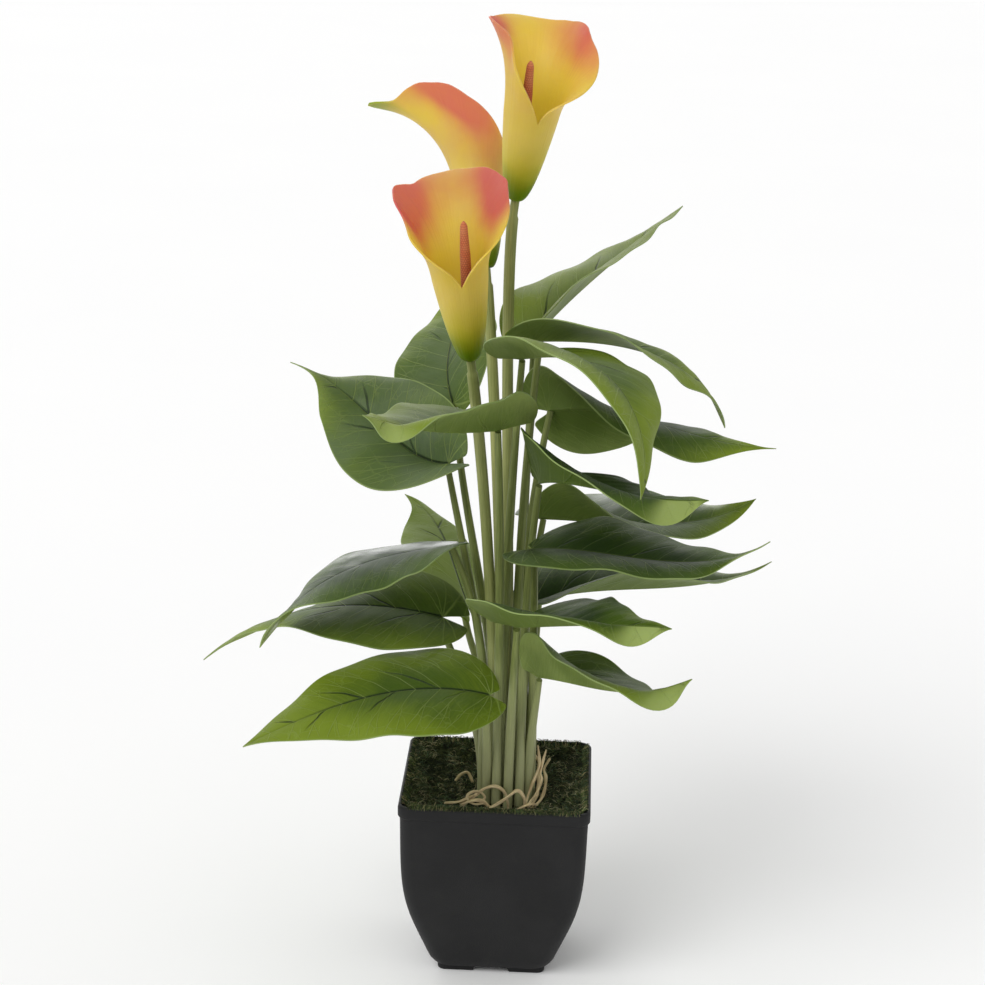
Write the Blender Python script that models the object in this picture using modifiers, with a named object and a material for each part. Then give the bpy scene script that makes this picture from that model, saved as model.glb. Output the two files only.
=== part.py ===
"""Potted calla lily: three blooms and seventeen leaves that stand in a square pot.

Frame: metres, +Z up, -Y the front, the origin on the standing surface under the middle of the bounding box.
Every size below is in millimetres, every place in millimetres from under the middle of the pot, and every
angle in degrees. The last step moves the whole plant to the frame's origin.
"""

import math

import bmesh
import bpy
from mathutils import Matrix, Vector, noise

MM = 0.001
GAP = 0.35
UP = Vector((0.0, 0.0, 1.0))

# Pot: a rounded square that narrows to four low feet
POT_HEIGHT = 107.0
POT_WALL = 1.8
POT_FLOOR = 2.4
FOOT_HEIGHT = 3.2
FOOT_HALF = 30.0
FOOT_GAP_HALF = 10.5
RING_POINTS = 32
# Height above the standing surface and half the width of the outside there
POT_PROFILE = (
    (3.0, 29.5),
    (3.6, 32.0),
    (7.5, 34.6),
    (17.0, 38.2),
    (28.0, 42.2),
    (39.0, 45.8),
    (52.0, 48.8),
    (68.0, 50.5),
    (99.0, 51.4),
    (100.2, 52.5),
    (105.8, 52.5),
    (107.0, 51.9),
)

# Casting and moss: what the stems stand in
CAST_TOP = 88.0
MOSS_LEVEL = 99.5
MOSS_RELIEF = 1.6
MOSS_DIP = 5.0
MOSS_HEAP = 5.5
MOSS_CELLS = 14
HOLE_DEPTH = 24.0

# Bundle: where the stems leave the moss
BUNDLE = (5.0, -9.0)
INNER_RING = 7.0
OUTER_RING = 13.7
OUTER_COUNT = 13
STALK_RADIUS = 2.6
STALK_TIP_RADIUS = 1.7
STEM_RADIUS = 2.9
STEM_TOP_RADIUS = 3.0
STEM_BEND_SHARE = 0.14
HOLE_CLEARANCE = 0.35

# Leaves
BLADE_THICKNESS = 0.8
BLADE_ROWS = (0.0, 0.03, 0.08, 0.16, 0.28, 0.42, 0.56, 0.7, 0.82, 0.92, 1.0)
BLADE_HALF_COLUMNS = 3
MIDRIB_STEPS = 100
LEAF_DROOP = 30.0
LEAF_WAVE = 1.6
LOBE_BLUNT = 1.6
CURL_PLACE = 0.88
CURL_REACH = 0.1

# hole: 0 the middle one, 1 to 6 the inner ring, 7 to 19 the outer ring, both from +X towards +Y;
# heading, pitch, fold and roll: at the stalk, halfway and at the tip; lean: the stalk's at its top;
# lobes: how far the left and the right lobe reach back past the stalk; curl: how far the left and
# the right edge turn up near the tip, for the few leaves that show it
LEAVES = (
    dict(name="leaf_01", hole=2, attach=(10, 24, 349), heading=(27, 38, 43), pitch=(47, 31, 27),
         fold=(54, 26, 14), roll=(-3, 21, 20), lean=12, length=124, half_width=36, lobes=(15, 15)),
    dict(name="leaf_02", hole=6, attach=(15, -36, 365), heading=(17, 15, 18), pitch=(-1, -21, -73),
         fold=(39, 16, 16), roll=(29, -2, -3), lean=14, length=125, half_width=35, lobes=(20, 29)),
    dict(name="leaf_03", hole=5, attach=(7, -52, 359), heading=(-48, -53, -64), pitch=(16, -18, -116),
         fold=(29, 18, 18), roll=(6, 23, 38), lean=20, length=142, half_width=38, lobes=(3, 17)),
    dict(name="leaf_04", hole=1, attach=(22, 4, 317), heading=(-25, -19, 17), pitch=(18, -9, -3),
         fold=(19, 4, 7), roll=(79, 8, -21), lean=16, length=129, half_width=39, lobes=(18, 24)),
    dict(name="leaf_05", hole=18, attach=(19, -42, 290), heading=(-66, -41, -25), pitch=(22, 4, 13),
         fold=(62, 22, 7), roll=(34, 20, -11), lean=20, length=119, half_width=38, lobes=(21, 12),
         curl=(0, -70)),
    dict(name="leaf_06", hole=9, attach=(19, 15, 253), heading=(10, -5, 29), pitch=(-2, 4, 28),
         fold=(54, 26, 14), roll=(35, -3, -25), lean=18, length=122, half_width=37, lobes=(21, 9)),
    dict(name="leaf_07", hole=7, attach=(16, -52, 257), heading=(-14, -12, -3), pitch=(10, 0, 37),
         fold=(16, 21, -5), roll=(-5, -4, 4), lean=20, length=128, half_width=35, lobes=(5, 23)),
    dict(name="leaf_08", hole=8, attach=(18, 15, 205), heading=(12, 15, 19), pitch=(15, 0, 27),
         fold=(31, 37, 4), roll=(-7, 10, -8), lean=20, length=139, half_width=35, lobes=(20, 4)),
    dict(name="leaf_09", hole=17, attach=(9, -59, 216), heading=(-70, -42, -17), pitch=(19, 16, 2),
         fold=(43, 31, 13), roll=(2, 8, -8), lean=25, length=115, half_width=38, lobes=(16, 36),
         curl=(0, -60)),
    dict(name="leaf_10", hole=19, attach=(21, -37, 180), heading=(-44, -47, -22), pitch=(12, 12, 34),
         fold=(65, 26, 7), roll=(17, 26, -6), lean=22, length=114, half_width=37, lobes=(8, 14),
         curl=(0, -75)),
    dict(name="leaf_11", hole=15, attach=(-4, -49, 173), heading=(185, 202, 204), pitch=(14, -9, -21),
         fold=(20, 11, 17), roll=(21, 12, 8), lean=20, length=138, half_width=39, lobes=(15, 8)),
    dict(name="leaf_12", hole=13, attach=(-33, 5, 197), heading=(193, 181, 191), pitch=(17, -11, -43),
         fold=(27, 5, 9), roll=(33, -4, -41), lean=25, length=141, half_width=36, lobes=(23, 25)),
    dict(name="leaf_13", hole=14, attach=(-26, -16, 246), heading=(163, 206, 197), pitch=(-15, -19, -64),
         fold=(14, 7, 16), roll=(-14, -5, -49), lean=25, length=125, half_width=35, lobes=(16, 9)),
    dict(name="leaf_14", hole=10, attach=(-21, 40, 192), heading=(116, 109, 140), pitch=(36, 17, 16),
         fold=(4, 0, 18), roll=(-42, -23, 9), lean=10, length=109, half_width=30, lobes=(20, 18)),
    dict(name="leaf_15", hole=12, attach=(-32, 20, 281), heading=(137, 143, 172), pitch=(-14, 28, 13),
         fold=(40, 24, -3), roll=(28, 38, -18), lean=15, length=125, half_width=36, lobes=(36, 19)),
    dict(name="leaf_16", hole=11, attach=(-32, 50, 307), heading=(111, 86, 106), pitch=(35, 17, 18),
         fold=(19, 21, 13), roll=(44, 26, -4), lean=10, length=117, half_width=34, lobes=(23, 13)),
    dict(name="leaf_17", hole=16, attach=(-2, -52, 321), heading=(227, 235, 227), pitch=(6, 15, 24),
         fold=(44, 36, 13), roll=(-14, -13, 6), lean=18, length=109, half_width=37, lobes=(31, 14),
         curl=(-65, 0)),
)

# Blooms: foot is where the spathe stands on its stem, facing the way its mouth looks, lean how far its
# tube tips that way and bank to its left; flares are the turns of the rim at its back, right, left, front
# right and front left, tube the length up to the front notch, limb how much longer the back is, tip the
# point on top of that, falls how slowly the limb draws in from the back to the front, right and left,
# spadix how far that tips to the left
BLOOMS = (
    dict(name="bloom_1", hole=0, foot=(1, 6, 432), facing=-74, lean=17, bank=4,
         flares=(88, 5, 32, 64, 170), tube=50, limb=50, tip=6, tip_width=16, falls=(2.4, 3.0),
         throat=13.6, spadix=-4),
    dict(name="bloom_2", hole=3, foot=(-15, 38, 388), facing=-10, lean=-13, bank=26,
         flares=(63, 36, 22, 132, 23), tube=50, limb=62, tip=17, tip_width=11, falls=(2.1, 2.0),
         throat=13.3, spadix=0),
    dict(name="bloom_3", hole=4, foot=(-19, -36, 355), facing=-82, lean=14, bank=-9,
         flares=(93, 42, 58, 141, 157), tube=49, limb=56, tip=3, tip_width=16, falls=(1.7, 1.8),
         throat=13.7, spadix=4),
)
SPATHE_WALL = 0.9
SPATHE_COLUMNS = 24
SPATHE_ROWS = 10
SPATHE_STEPS = 120
SPATHE_FOOT_RADIUS = 2.3
SPADIX_LENGTH = 76.0
SPADIX_RADIUS = 2.9
SPADIX_REST = 1.8

# Roots: strands that lie on the moss, as places with the height of each above the moss
ROOT_RADIUS = 0.95
ROOTS = (
    ((-28, -29, 0), (-20, -28, 1), (-13, -28, 5), (-6, -28, 12), (0, -28, 14), (5, -28, 11), (7, -28, 4),
     (7, -29, 0)),
    ((-19, -31, 0), (-13, -32, 5), (-7, -32, 6), (-3, -32, 3), (3, -31, 0)),
    ((-9, -35, 0), (-2, -35, 3), (6, -35, 9), (12, -34, 13), (16, -34, 8), (16, -32, 0)),
    ((18, -27, 0), (22, -20, 3), (23, -10, 6), (23, 0, 9), (23, 6, 13), (20, 9, 18)),
    ((21, -28, 0), (25, -18, 2), (27, -9, 5), (27, -1, 8), (26, 6, 9), (29, 9, 14)),
    ((-24, 6, 0), (-21, 8, 3), (-17, 9, 4), (-14, 6, 0)),
)

MATERIALS = {
    "pot_black": ((0.022, 0.022, 0.023), 0.55),
    "casting_grey": ((0.30, 0.29, 0.27), 0.95),
    "moss_green": ((0.030, 0.045, 0.018), 1.0),
    "leaf_green": ((0.085, 0.17, 0.035), 0.45),
    "stalk_green": ((0.22, 0.28, 0.10), 0.5),
    "spathe_yellow": ((0.85, 0.52, 0.09), 0.45),
    "spadix_red": ((0.50, 0.13, 0.06), 0.8),
    "root_straw": ((0.55, 0.38, 0.20), 0.85),
}


def material(name):
    found = bpy.data.materials.get(name)
    if found:
        return found
    colour, roughness = MATERIALS[name]
    made = bpy.data.materials.new(name)
    made.use_nodes = True
    shader = made.node_tree.nodes["Principled BSDF"]
    shader.inputs["Base Color"].default_value = (*colour, 1.0)
    shader.inputs["Roughness"].default_value = roughness
    shader.inputs["Metallic"].default_value = 0.0
    made.diffuse_color = (*colour, 1.0)
    return made


def at_three(values, u):
    """The quadratic that takes these three values at u = 0, 0.5 and 1."""
    first, middle, last = values
    return first * (1 - u) * (1 - 2 * u) + middle * 4 * u * (1 - u) + last * u * (2 * u - 1)


def along(heading, pitch):
    """The unit vector with this heading from +X towards +Y and this pitch above level."""
    turn, rise = math.radians(heading), math.radians(pitch)
    return Vector((math.cos(turn) * math.cos(rise), math.sin(turn) * math.cos(rise), math.sin(rise)))


def object_of(name, bm, material_name, collection):
    """One object from a bmesh in millimetres, with its mesh in metres and its place in the mesh."""
    bmesh.ops.scale(bm, vec=(MM, MM, MM), verts=bm.verts)
    mesh = bpy.data.meshes.new(name)
    bm.to_mesh(mesh)
    bm.free()
    mesh.materials.append(material(material_name))
    made = bpy.data.objects.new(name, mesh)
    collection.objects.link(made)
    return made


def smooth(made, sharp_angle=40):
    made.data.shade_smooth()
    made.data.set_sharp_from_angle(angle=math.radians(sharp_angle))


def hole_place(number):
    """Where a stem leaves the moss: one in the middle, six round it and thirteen round those."""
    if number == 0:
        return Vector((*BUNDLE, 0.0))
    if number <= 6:
        radius, angle = INNER_RING, math.tau * (number - 1) / 6
    else:
        radius, angle = OUTER_RING, math.tau * (number - 7) / OUTER_COUNT
    return Vector((BUNDLE[0] + radius * math.cos(angle), BUNDLE[1] + radius * math.sin(angle), 0.0))


def moss_height(x, y):
    """The moss is uneven, lower round the stems and heaped up almost to the top of the rim."""
    coarse = noise.noise(Vector((x * 0.055, y * 0.055, 3.7)))
    relief = coarse + 0.5 * noise.noise(Vector((x * 0.15, y * 0.15, 9.1)))
    distance = math.hypot(x - BUNDLE[0], y - BUNDLE[1])
    dip = MOSS_DIP * math.exp(-((distance / 24.0) ** 2))
    near_rim = max(0.0, min(1.0, (max(abs(x), abs(y)) - 34.0) / 13.0))
    return MOSS_LEVEL + MOSS_RELIEF * relief - dip + MOSS_HEAP * near_rim * near_rim * (3 - 2 * near_rim)


def rounded_square(half, corner, count=RING_POINTS):
    """Points round a square with round corners, the corners holding half of the points."""
    places = []
    per_corner = count // 4
    for quarter in range(4):
        for step in range(per_corner):
            angle = math.pi / 2 * (quarter + step / (per_corner - 1))
            centre = Vector((half - corner, half - corner))
            centre.rotate(Matrix.Rotation(math.pi / 2 * quarter, 2))
            places.append(centre + corner * Vector((math.cos(angle), math.sin(angle))))
    return places


def loft(bm, sections):
    """A closed body through rings of (z, half width, corner radius), capped at the first and the last."""
    rings = []
    for z, half, corner in sections:
        ring = bmesh.ops.create_circle(bm, segments=RING_POINTS, radius=1.0)["verts"]
        for vert, place in zip(ring, rounded_square(half, corner)):
            vert.co = (place.x, place.y, z)
        rings.append(list({edge for v in ring for edge in v.link_edges}))
    for lower, upper in zip(rings, rings[1:]):
        bmesh.ops.bridge_loops(bm, edges=lower + upper)
    for end in (rings[0], rings[-1]):
        bmesh.ops.contextual_create(bm, geom=end)
    bmesh.ops.recalc_face_normals(bm, faces=bm.faces)


def corner_of(half):
    """The pot's corners are rounder in proportion towards its foot."""
    return 7.0 + 0.10 * (52.0 - half)


def half_at(z):
    """Half the pot's outer width at this height."""
    for (low, near), (high, far) in zip(POT_PROFILE, POT_PROFILE[1:]):
        if low <= z <= high:
            return near + (far - near) * (z - low) / (high - low)
    return POT_PROFILE[0][1]


def boolean(target, cutters, operation):
    """Joins or cuts target with every object of a collection, and leaves the result in its mesh."""
    change = target.modifiers.new(operation.lower(), "BOOLEAN")
    change.operation = operation
    change.operand_type = "COLLECTION"
    change.collection = cutters
    change.solver = "EXACT"
    bpy.context.view_layer.update()
    result = bpy.data.meshes.new_from_object(target.evaluated_get(bpy.context.evaluated_depsgraph_get()))
    target.modifiers.clear()
    target.data = result
    for used in list(cutters.objects):
        bpy.data.objects.remove(used)
    bpy.data.collections.remove(cutters)


def helper_collection(name):
    made = bpy.data.collections.new(name)
    bpy.context.scene.collection.children.link(made)
    return made


def make_pot(collection):
    bm = bmesh.new()
    outside = [(z, half, corner_of(half)) for z, half in POT_PROFILE]
    inside = [
        (z, half - POT_WALL, corner_of(half) - 1.5)
        for z, half in POT_PROFILE[2:9]
    ]
    floor_z = FOOT_HEIGHT + POT_FLOOR
    inside[0] = (floor_z, half_at(floor_z) - POT_WALL - 1.0, corner_of(34.0) - 1.5)
    mouth = (POT_HEIGHT - 0.5, POT_PROFILE[8][1] - POT_WALL, corner_of(50.0) - 1.5)
    loft(bm, outside + [mouth] + inside[::-1])
    pot = object_of("pot", bm, "pot_black", collection)

    feet = helper_collection("pot_feet")
    for quarter in range(4):
        bm = bmesh.new()
        low, high = FOOT_GAP_HALF, FOOT_HALF
        made = bmesh.ops.create_cube(bm, size=1.0)["verts"]
        bmesh.ops.scale(bm, vec=(high - low, high - low, FOOT_HEIGHT + 1.2), verts=made)
        middle = (low + high) / 2
        bmesh.ops.translate(bm, vec=(middle, middle, (FOOT_HEIGHT + 1.2) / 2), verts=made)
        for vert in bm.verts:
            if vert.co.z > FOOT_HEIGHT:
                vert.co.x -= 2.6 if vert.co.x < middle else 0.0
                vert.co.y -= 2.6 if vert.co.y < middle else 0.0
        outer = [
            e for e in bm.edges
            if all(v.co.x > high - 0.1 and v.co.y > high - 0.1 for v in e.verts)
        ]
        bmesh.ops.bevel(bm, geom=outer, offset=4.5, segments=3, profile=0.5, affect="EDGES", material=-1)
        bmesh.ops.rotate(bm, matrix=Matrix.Rotation(math.pi / 2 * quarter, 3, "Z"), verts=bm.verts)
        object_of(f"foot_{quarter}", bm, "pot_black", feet)
    boolean(pot, feet, "UNION")
    smooth(pot, 35)
    return pot


def drill_holes(target, bottom, top):
    """Cuts the stems' plain holes, each a little wider than its stem."""
    cutters = helper_collection("hole_cutters")
    stems = [(leaf["hole"], STALK_RADIUS) for leaf in LEAVES]
    stems += [(bloom["hole"], STEM_RADIUS) for bloom in BLOOMS]
    for number, radius in stems:
        bm = bmesh.new()
        bmesh.ops.create_cone(
            bm, cap_ends=True, segments=10, depth=top - bottom,
            radius1=radius + HOLE_CLEARANCE, radius2=radius + HOLE_CLEARANCE,
        )
        bmesh.ops.translate(bm, vec=hole_place(number) + UP * (top + bottom) / 2, verts=bm.verts)
        object_of(f"cutter_{number}", bm, "moss_green", cutters)
    boolean(target, cutters, "DIFFERENCE")


def make_casting(collection):
    """The cast filling that holds the stems and weighs the pot down."""
    bm = bmesh.new()
    floor_z = FOOT_HEIGHT + POT_FLOOR
    levels = [floor_z + GAP] + [z for z, _ in POT_PROFILE[3:8]] + [CAST_TOP]
    sections = []
    for z in levels:
        half = half_at(z) - POT_WALL - GAP - (1.2 if z == levels[0] else 0.1)
        sections.append((z, half, corner_of(half_at(z)) - 1.7))
    loft(bm, sections)
    casting = object_of("casting", bm, "casting_grey", collection)
    drill_holes(casting, CAST_TOP - HOLE_DEPTH, CAST_TOP + 4)
    return casting


def make_moss(collection):
    """The moss mat on the casting, with an uneven top."""
    half = half_at(CAST_TOP) - POT_WALL - GAP
    bm = bmesh.new()
    bmesh.ops.create_grid(bm, x_segments=MOSS_CELLS, y_segments=MOSS_CELLS, size=half)
    corner = 5.0
    for vert in bm.verts:
        x, y = vert.co.x, vert.co.y
        over = Vector((abs(x) - (half - corner), abs(y) - (half - corner)))
        if over.x > 0 and over.y > 0:
            reach = max(over.x, over.y)
            over = over.normalized() * reach
            x = math.copysign(half - corner + over.x, x)
            y = math.copysign(half - corner + over.y, y)
        vert.co = (x, y, moss_height(x, y))
    top = list(bm.faces)
    bmesh.ops.triangulate(bm, faces=top)
    rim = [e for e in bm.edges if e.is_boundary]
    walls = bmesh.ops.extrude_edge_only(bm, edges=rim)["geom"]
    for vert in [g for g in walls if isinstance(g, bmesh.types.BMVert)]:
        vert.co.z = CAST_TOP + GAP
    bmesh.ops.contextual_create(bm, geom=[e for e in bm.edges if e.is_boundary])
    bmesh.ops.recalc_face_normals(bm, faces=bm.faces)
    moss = object_of("moss_mat", bm, "moss_green", collection)
    drill_holes(moss, CAST_TOP - 3, MOSS_LEVEL + 12)
    return moss


def tube(name, points, radii, material_name, collection, resolution=2):
    """A round rod through points in millimetres, with a radius at each point."""
    curve = bpy.data.curves.new(name, "CURVE")
    curve.dimensions = "3D"
    curve.bevel_depth = MM
    curve.bevel_resolution = resolution
    curve.use_fill_caps = True
    spline = curve.splines.new("POLY")
    spline.points.add(len(points) - 1)
    for target, place, radius in zip(spline.points, points, radii):
        target.co = (*(place * MM), 1.0)
        target.radius = radius
    curve.materials.append(material(material_name))
    made = bpy.data.objects.new(name, curve)
    collection.objects.link(made)
    return made


def stalk_points(hole, end, lean_direction, bend_share=0.36, count=9):
    """Straight up out of its hole, then an even bend to where it meets its leaf or bloom."""
    start = hole_place(hole)
    bottom = start + UP * (CAST_TOP - HOLE_DEPTH + GAP)
    leave = start + UP * MOSS_LEVEL
    rise = end.z - leave.z
    first = leave + UP * 0.42 * rise
    second = end - lean_direction * bend_share * rise
    bend = [
        leave * (1 - t) ** 3 + first * 3 * t * (1 - t) ** 2 + second * 3 * t * t * (1 - t) + end * t ** 3
        for t in (step / count for step in range(count + 1))
    ]
    return [bottom, *bend]


def leaf_rib(leaf):
    """Places along the midrib, with the way it runs, its left side and its upper side at each."""
    place = Vector(leaf["attach"])
    rib = []
    for step in range(MIDRIB_STEPS + 1):
        u = step / MIDRIB_STEPS
        heading, pitch = at_three(leaf["heading"], u), at_three(leaf["pitch"], u)
        run = along(heading, pitch)
        left = along(heading + 90, 0)
        turn = Matrix.Rotation(-math.radians(at_three(leaf["roll"], u)), 3, run)
        left = turn @ left
        rib.append((place.copy(), run, left, run.cross(left)))
        place += run * leaf["length"] / MIDRIB_STEPS
    return rib


def half_width(u):
    """The outline: a broad rounded base that draws in to a fine tip."""
    return 2.752 * (u + 0.004) ** 0.5 * (1 - u) ** 1.15


def leaf_point(leaf, rib, u, v):
    """The blade's middle surface: u along the midrib, v from -1 at the right edge to 1 at the left one."""
    place, run, left, upper = rib[round(u * MIDRIB_STEPS)]
    side, out = (1, abs(v)) if v >= 0 else (-1, abs(v))
    width = leaf["half_width"] * half_width(u)
    lobe = leaf["lobes"][0 if side > 0 else 1]
    curl = leaf.get("curl", (0, 0))[0 if side > 0 else 1]
    curl *= math.exp(-(((u - CURL_PLACE) / CURL_REACH) ** 2))
    fold = math.radians(at_three(leaf["fold"], u) - out * LEAF_DROOP / 2 + curl)
    # The edge of a lobe sweeps back no further than the strip inside it, which blunts the lobe
    blunt = LOBE_BLUNT * max(0.0, out - 0.5) ** 2
    swept = lobe * max(0.0, 1 - u / 0.4) ** 2 * (out ** 1.3 - blunt)
    across = width * out * math.cos(fold)
    lift = width * out * math.sin(fold)
    phase = leaf["attach"][2] * 0.7 + (1.9 if side > 0 else 0.0)
    lift += LEAF_WAVE * out ** 1.5 * math.sin(math.tau * 1.7 * u + phase) * min(1.0, 4 * u, 4 * (1 - u))
    return place + left * side * across + upper * lift - run * swept


def make_blade(leaf, rib, collection):
    columns = 2 * BLADE_HALF_COLUMNS
    rows = len(BLADE_ROWS) - 1
    bm = bmesh.new()
    bmesh.ops.create_grid(bm, x_segments=rows, y_segments=columns, size=1.0)
    for vert in bm.verts:
        row = round((vert.co.x + 1) / 2 * rows)
        vert.co = leaf_point(leaf, rib, BLADE_ROWS[row], vert.co.y)
    bmesh.ops.remove_doubles(bm, verts=bm.verts, dist=0.02)
    bmesh.ops.recalc_face_normals(bm, faces=bm.faces)
    bmesh.ops.triangulate(bm, faces=bm.faces)
    blade = object_of(leaf["name"] + "_blade", bm, "leaf_green", collection)
    wall = blade.modifiers.new("thickness", "SOLIDIFY")
    wall.thickness = BLADE_THICKNESS * MM
    wall.offset = 0.0
    smooth(blade, 60)
    return blade


def seat_depth(rim_axis, left, upper, fold):
    """How far under the midrib a stalk's flat end stops, so that its rim just clears the folded blade."""
    across = rim_axis.orthogonal().normalized()
    along_rim = rim_axis.cross(across)
    slope = math.tan(fold)
    highest = 0.0
    for step in range(24):
        angle = math.tau * step / 24
        rim = (across * math.cos(angle) + along_rim * math.sin(angle)) * STALK_TIP_RADIUS
        highest = max(highest, rim.dot(upper) - abs(rim.dot(left)) * slope)
    return highest + BLADE_THICKNESS / 2 + GAP / math.cos(fold)


def make_leaf(leaf, collection):
    rib = leaf_rib(leaf)
    make_blade(leaf, rib, collection)
    place, run, left, upper = rib[0]
    place = place + run * STALK_TIP_RADIUS
    away = Vector((place.x, place.y, 0)) - hole_place(leaf["hole"])
    direction = along(math.degrees(math.atan2(away.y, away.x)), 90 - leaf["lean"])
    end = place - upper * seat_depth(direction, left, upper, math.radians(leaf["fold"][0]))
    points = stalk_points(leaf["hole"], end, direction)
    taper = [
        STALK_RADIUS + (STALK_TIP_RADIUS - STALK_RADIUS) * max(0.0, i / (len(points) - 1) - 0.4) / 0.6
        for i in range(len(points))
    ]
    tube(leaf["name"] + "_stalk", points, taper, "stalk_green", collection)


def bloom_axes(bloom):
    """The spathe's own X towards its mouth, Y to its left and Z up its tube."""
    up = along(bloom["facing"], 90 - bloom["lean"])
    left = along(bloom["facing"] + 90, 0)
    forward = left.cross(up)
    bank = Matrix.Rotation(-math.radians(bloom["bank"]), 3, forward)
    return Matrix((forward, bank @ left, bank @ up)).transposed()


def spathe_line(bloom, turn):
    """One line up the spathe; turn runs from -1 to 1 round the funnel and is 0 at its back."""
    back, *flanks = bloom["flares"]
    half = 0 if turn < 0 else 1
    around = math.pi * turn
    limb = 1 - abs(turn) ** bloom["falls"][half]
    tip = math.exp(-((180 * turn / bloom["tip_width"]) ** 2))
    total = bloom["tube"] + bloom["limb"] * limb + bloom["tip"] * tip
    flare = at_three((back, flanks[half], flanks[half + 2]), (1 - math.cos(around)) / 2)
    step = total / SPATHE_STEPS
    line, out, z = [], 0.0, 0.0
    for number in range(SPATHE_STEPS + 1):
        reach = step * number
        widening = (bloom["throat"] - SPATHE_FOOT_RADIUS) * math.sqrt(min(1.0, reach / bloom["tube"]))
        radius = SPATHE_FOOT_RADIUS + widening + out
        line.append(Vector((-radius * math.cos(around), radius * math.sin(around), z)))
        middle = reach + step / 2
        if middle < bloom["tube"]:
            z += step * 0.97
        else:
            angle = math.radians(4 + flare * (middle - bloom["tube"]) / (bloom["limb"] * 1.1))
            out += step * math.sin(angle)
            z += step * math.cos(angle)
    line[0] = Vector((0.0, 0.0, 0.0))
    return line


def make_bloom(bloom, collection):
    axes = bloom_axes(bloom)
    foot = Vector(bloom["foot"])
    bm = bmesh.new()
    bmesh.ops.create_grid(bm, x_segments=SPATHE_ROWS, y_segments=SPATHE_COLUMNS, size=1.0)
    lines = {}
    for vert in bm.verts:
        turn = round(vert.co.y, 4)
        if turn not in lines:
            lines[turn] = spathe_line(bloom, turn)
        share = ((vert.co.x + 1) / 2) ** 1.3
        vert.co = foot + axes @ lines[turn][round(share * SPATHE_STEPS)]
    bmesh.ops.remove_doubles(bm, verts=bm.verts, dist=0.02)
    bmesh.ops.recalc_face_normals(bm, faces=bm.faces)
    lowest = min(bm.faces, key=lambda face: (face.calc_center_median() - foot).length)
    if lowest.normal.dot(axes @ UP) > 0:
        bmesh.ops.reverse_faces(bm, faces=bm.faces)
    bmesh.ops.triangulate(bm, faces=bm.faces)
    spathe = object_of(bloom["name"] + "_spathe", bm, "spathe_yellow", collection)
    wall = spathe.modifiers.new("thickness", "SOLIDIFY")
    wall.thickness = SPATHE_WALL * MM
    wall.offset = 1.0
    smooth(spathe, 60)

    stem_top = foot - axes @ Vector((0, 0, SPATHE_WALL + GAP))
    points = stalk_points(bloom["hole"], stem_top, axes @ UP, STEM_BEND_SHARE, count=11)
    last = len(points) - 1
    radii = [STEM_RADIUS + (STEM_TOP_RADIUS - STEM_RADIUS) * i / last for i in range(len(points))]
    tube(bloom["name"] + "_stem", points, radii, "stalk_green", collection)

    heights = (0.0, 0.12, 0.3, 0.5, 0.75, 0.93, 1.0)
    widths = (0.5, 0.7, 0.85, 1.0, 0.95, 0.7, 0.3)
    base = foot + axes @ Vector((0, 0, SPADIX_REST))
    tip = math.radians(bloom["spadix"])
    run = axes @ Vector((0, math.sin(tip), math.cos(tip))) * SPADIX_LENGTH
    tube(
        bloom["name"] + "_spadix",
        [base + run * share for share in heights],
        [SPADIX_RADIUS * share for share in widths],
        "spadix_red",
        collection,
        resolution=3,
    )


def make_roots(collection):
    """Fine strands that run past the foot of the stems, each a smooth line through its places."""
    for number, places in enumerate(ROOTS, 1):
        ends = [Vector((x, y, moss_height(x, y) + ROOT_RADIUS + GAP + height)) for x, y, height in places]
        ends = [ends[0] * 2 - ends[1], *ends, ends[-1] * 2 - ends[-2]]
        line = []
        for before, start, end, after in zip(ends, ends[1:], ends[2:], ends[3:]):
            for t in (0.0, 0.5):
                line.append(
                    (start * 2 + (end - before) * t + (before * 2 - start * 5 + end * 4 - after) * t ** 2
                     + (start * 3 - before - end * 3 + after) * t ** 3) / 2
                )
        line.append(ends[-2])
        count = len(line) - 1
        radii = [ROOT_RADIUS * (1 - 0.35 * abs(2 * i / count - 1) ** 3) for i in range(count + 1)]
        tube(f"root_{number}", line, radii, "root_straw", collection, resolution=1)


def centre_over_origin(collection):
    """Moves every piece alike, so that the middle of the bounding box lies over the origin."""
    graph = bpy.context.evaluated_depsgraph_get()
    places = []
    for piece in collection.objects:
        evaluated = piece.evaluated_get(graph)
        places += [vert.co.xy for vert in evaluated.to_mesh().vertices]
        evaluated.to_mesh_clear()
    middle = [(min(p[axis] for p in places) + max(p[axis] for p in places)) / 2 for axis in (0, 1)]
    for piece in collection.objects:
        piece.location = (-middle[0], -middle[1], 0.0)


def main():
    for old in list(bpy.data.objects):
        bpy.data.objects.remove(old)
    collection = bpy.data.collections.new("potted_calla_lily")
    bpy.context.scene.collection.children.link(collection)
    make_pot(collection)
    make_casting(collection)
    make_moss(collection)
    for leaf in LEAVES:
        make_leaf(leaf, collection)
    for bloom in BLOOMS:
        make_bloom(bloom, collection)
    make_roots(collection)
    bpy.context.view_layer.update()
    centre_over_origin(collection)


main()
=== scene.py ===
# Potted calla lily: the looks of its blooms, leaves, stalks, pot, moss and straw roots.
import math
import random

import bmesh
import bpy
from mathutils import Matrix, Vector, noise


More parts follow.
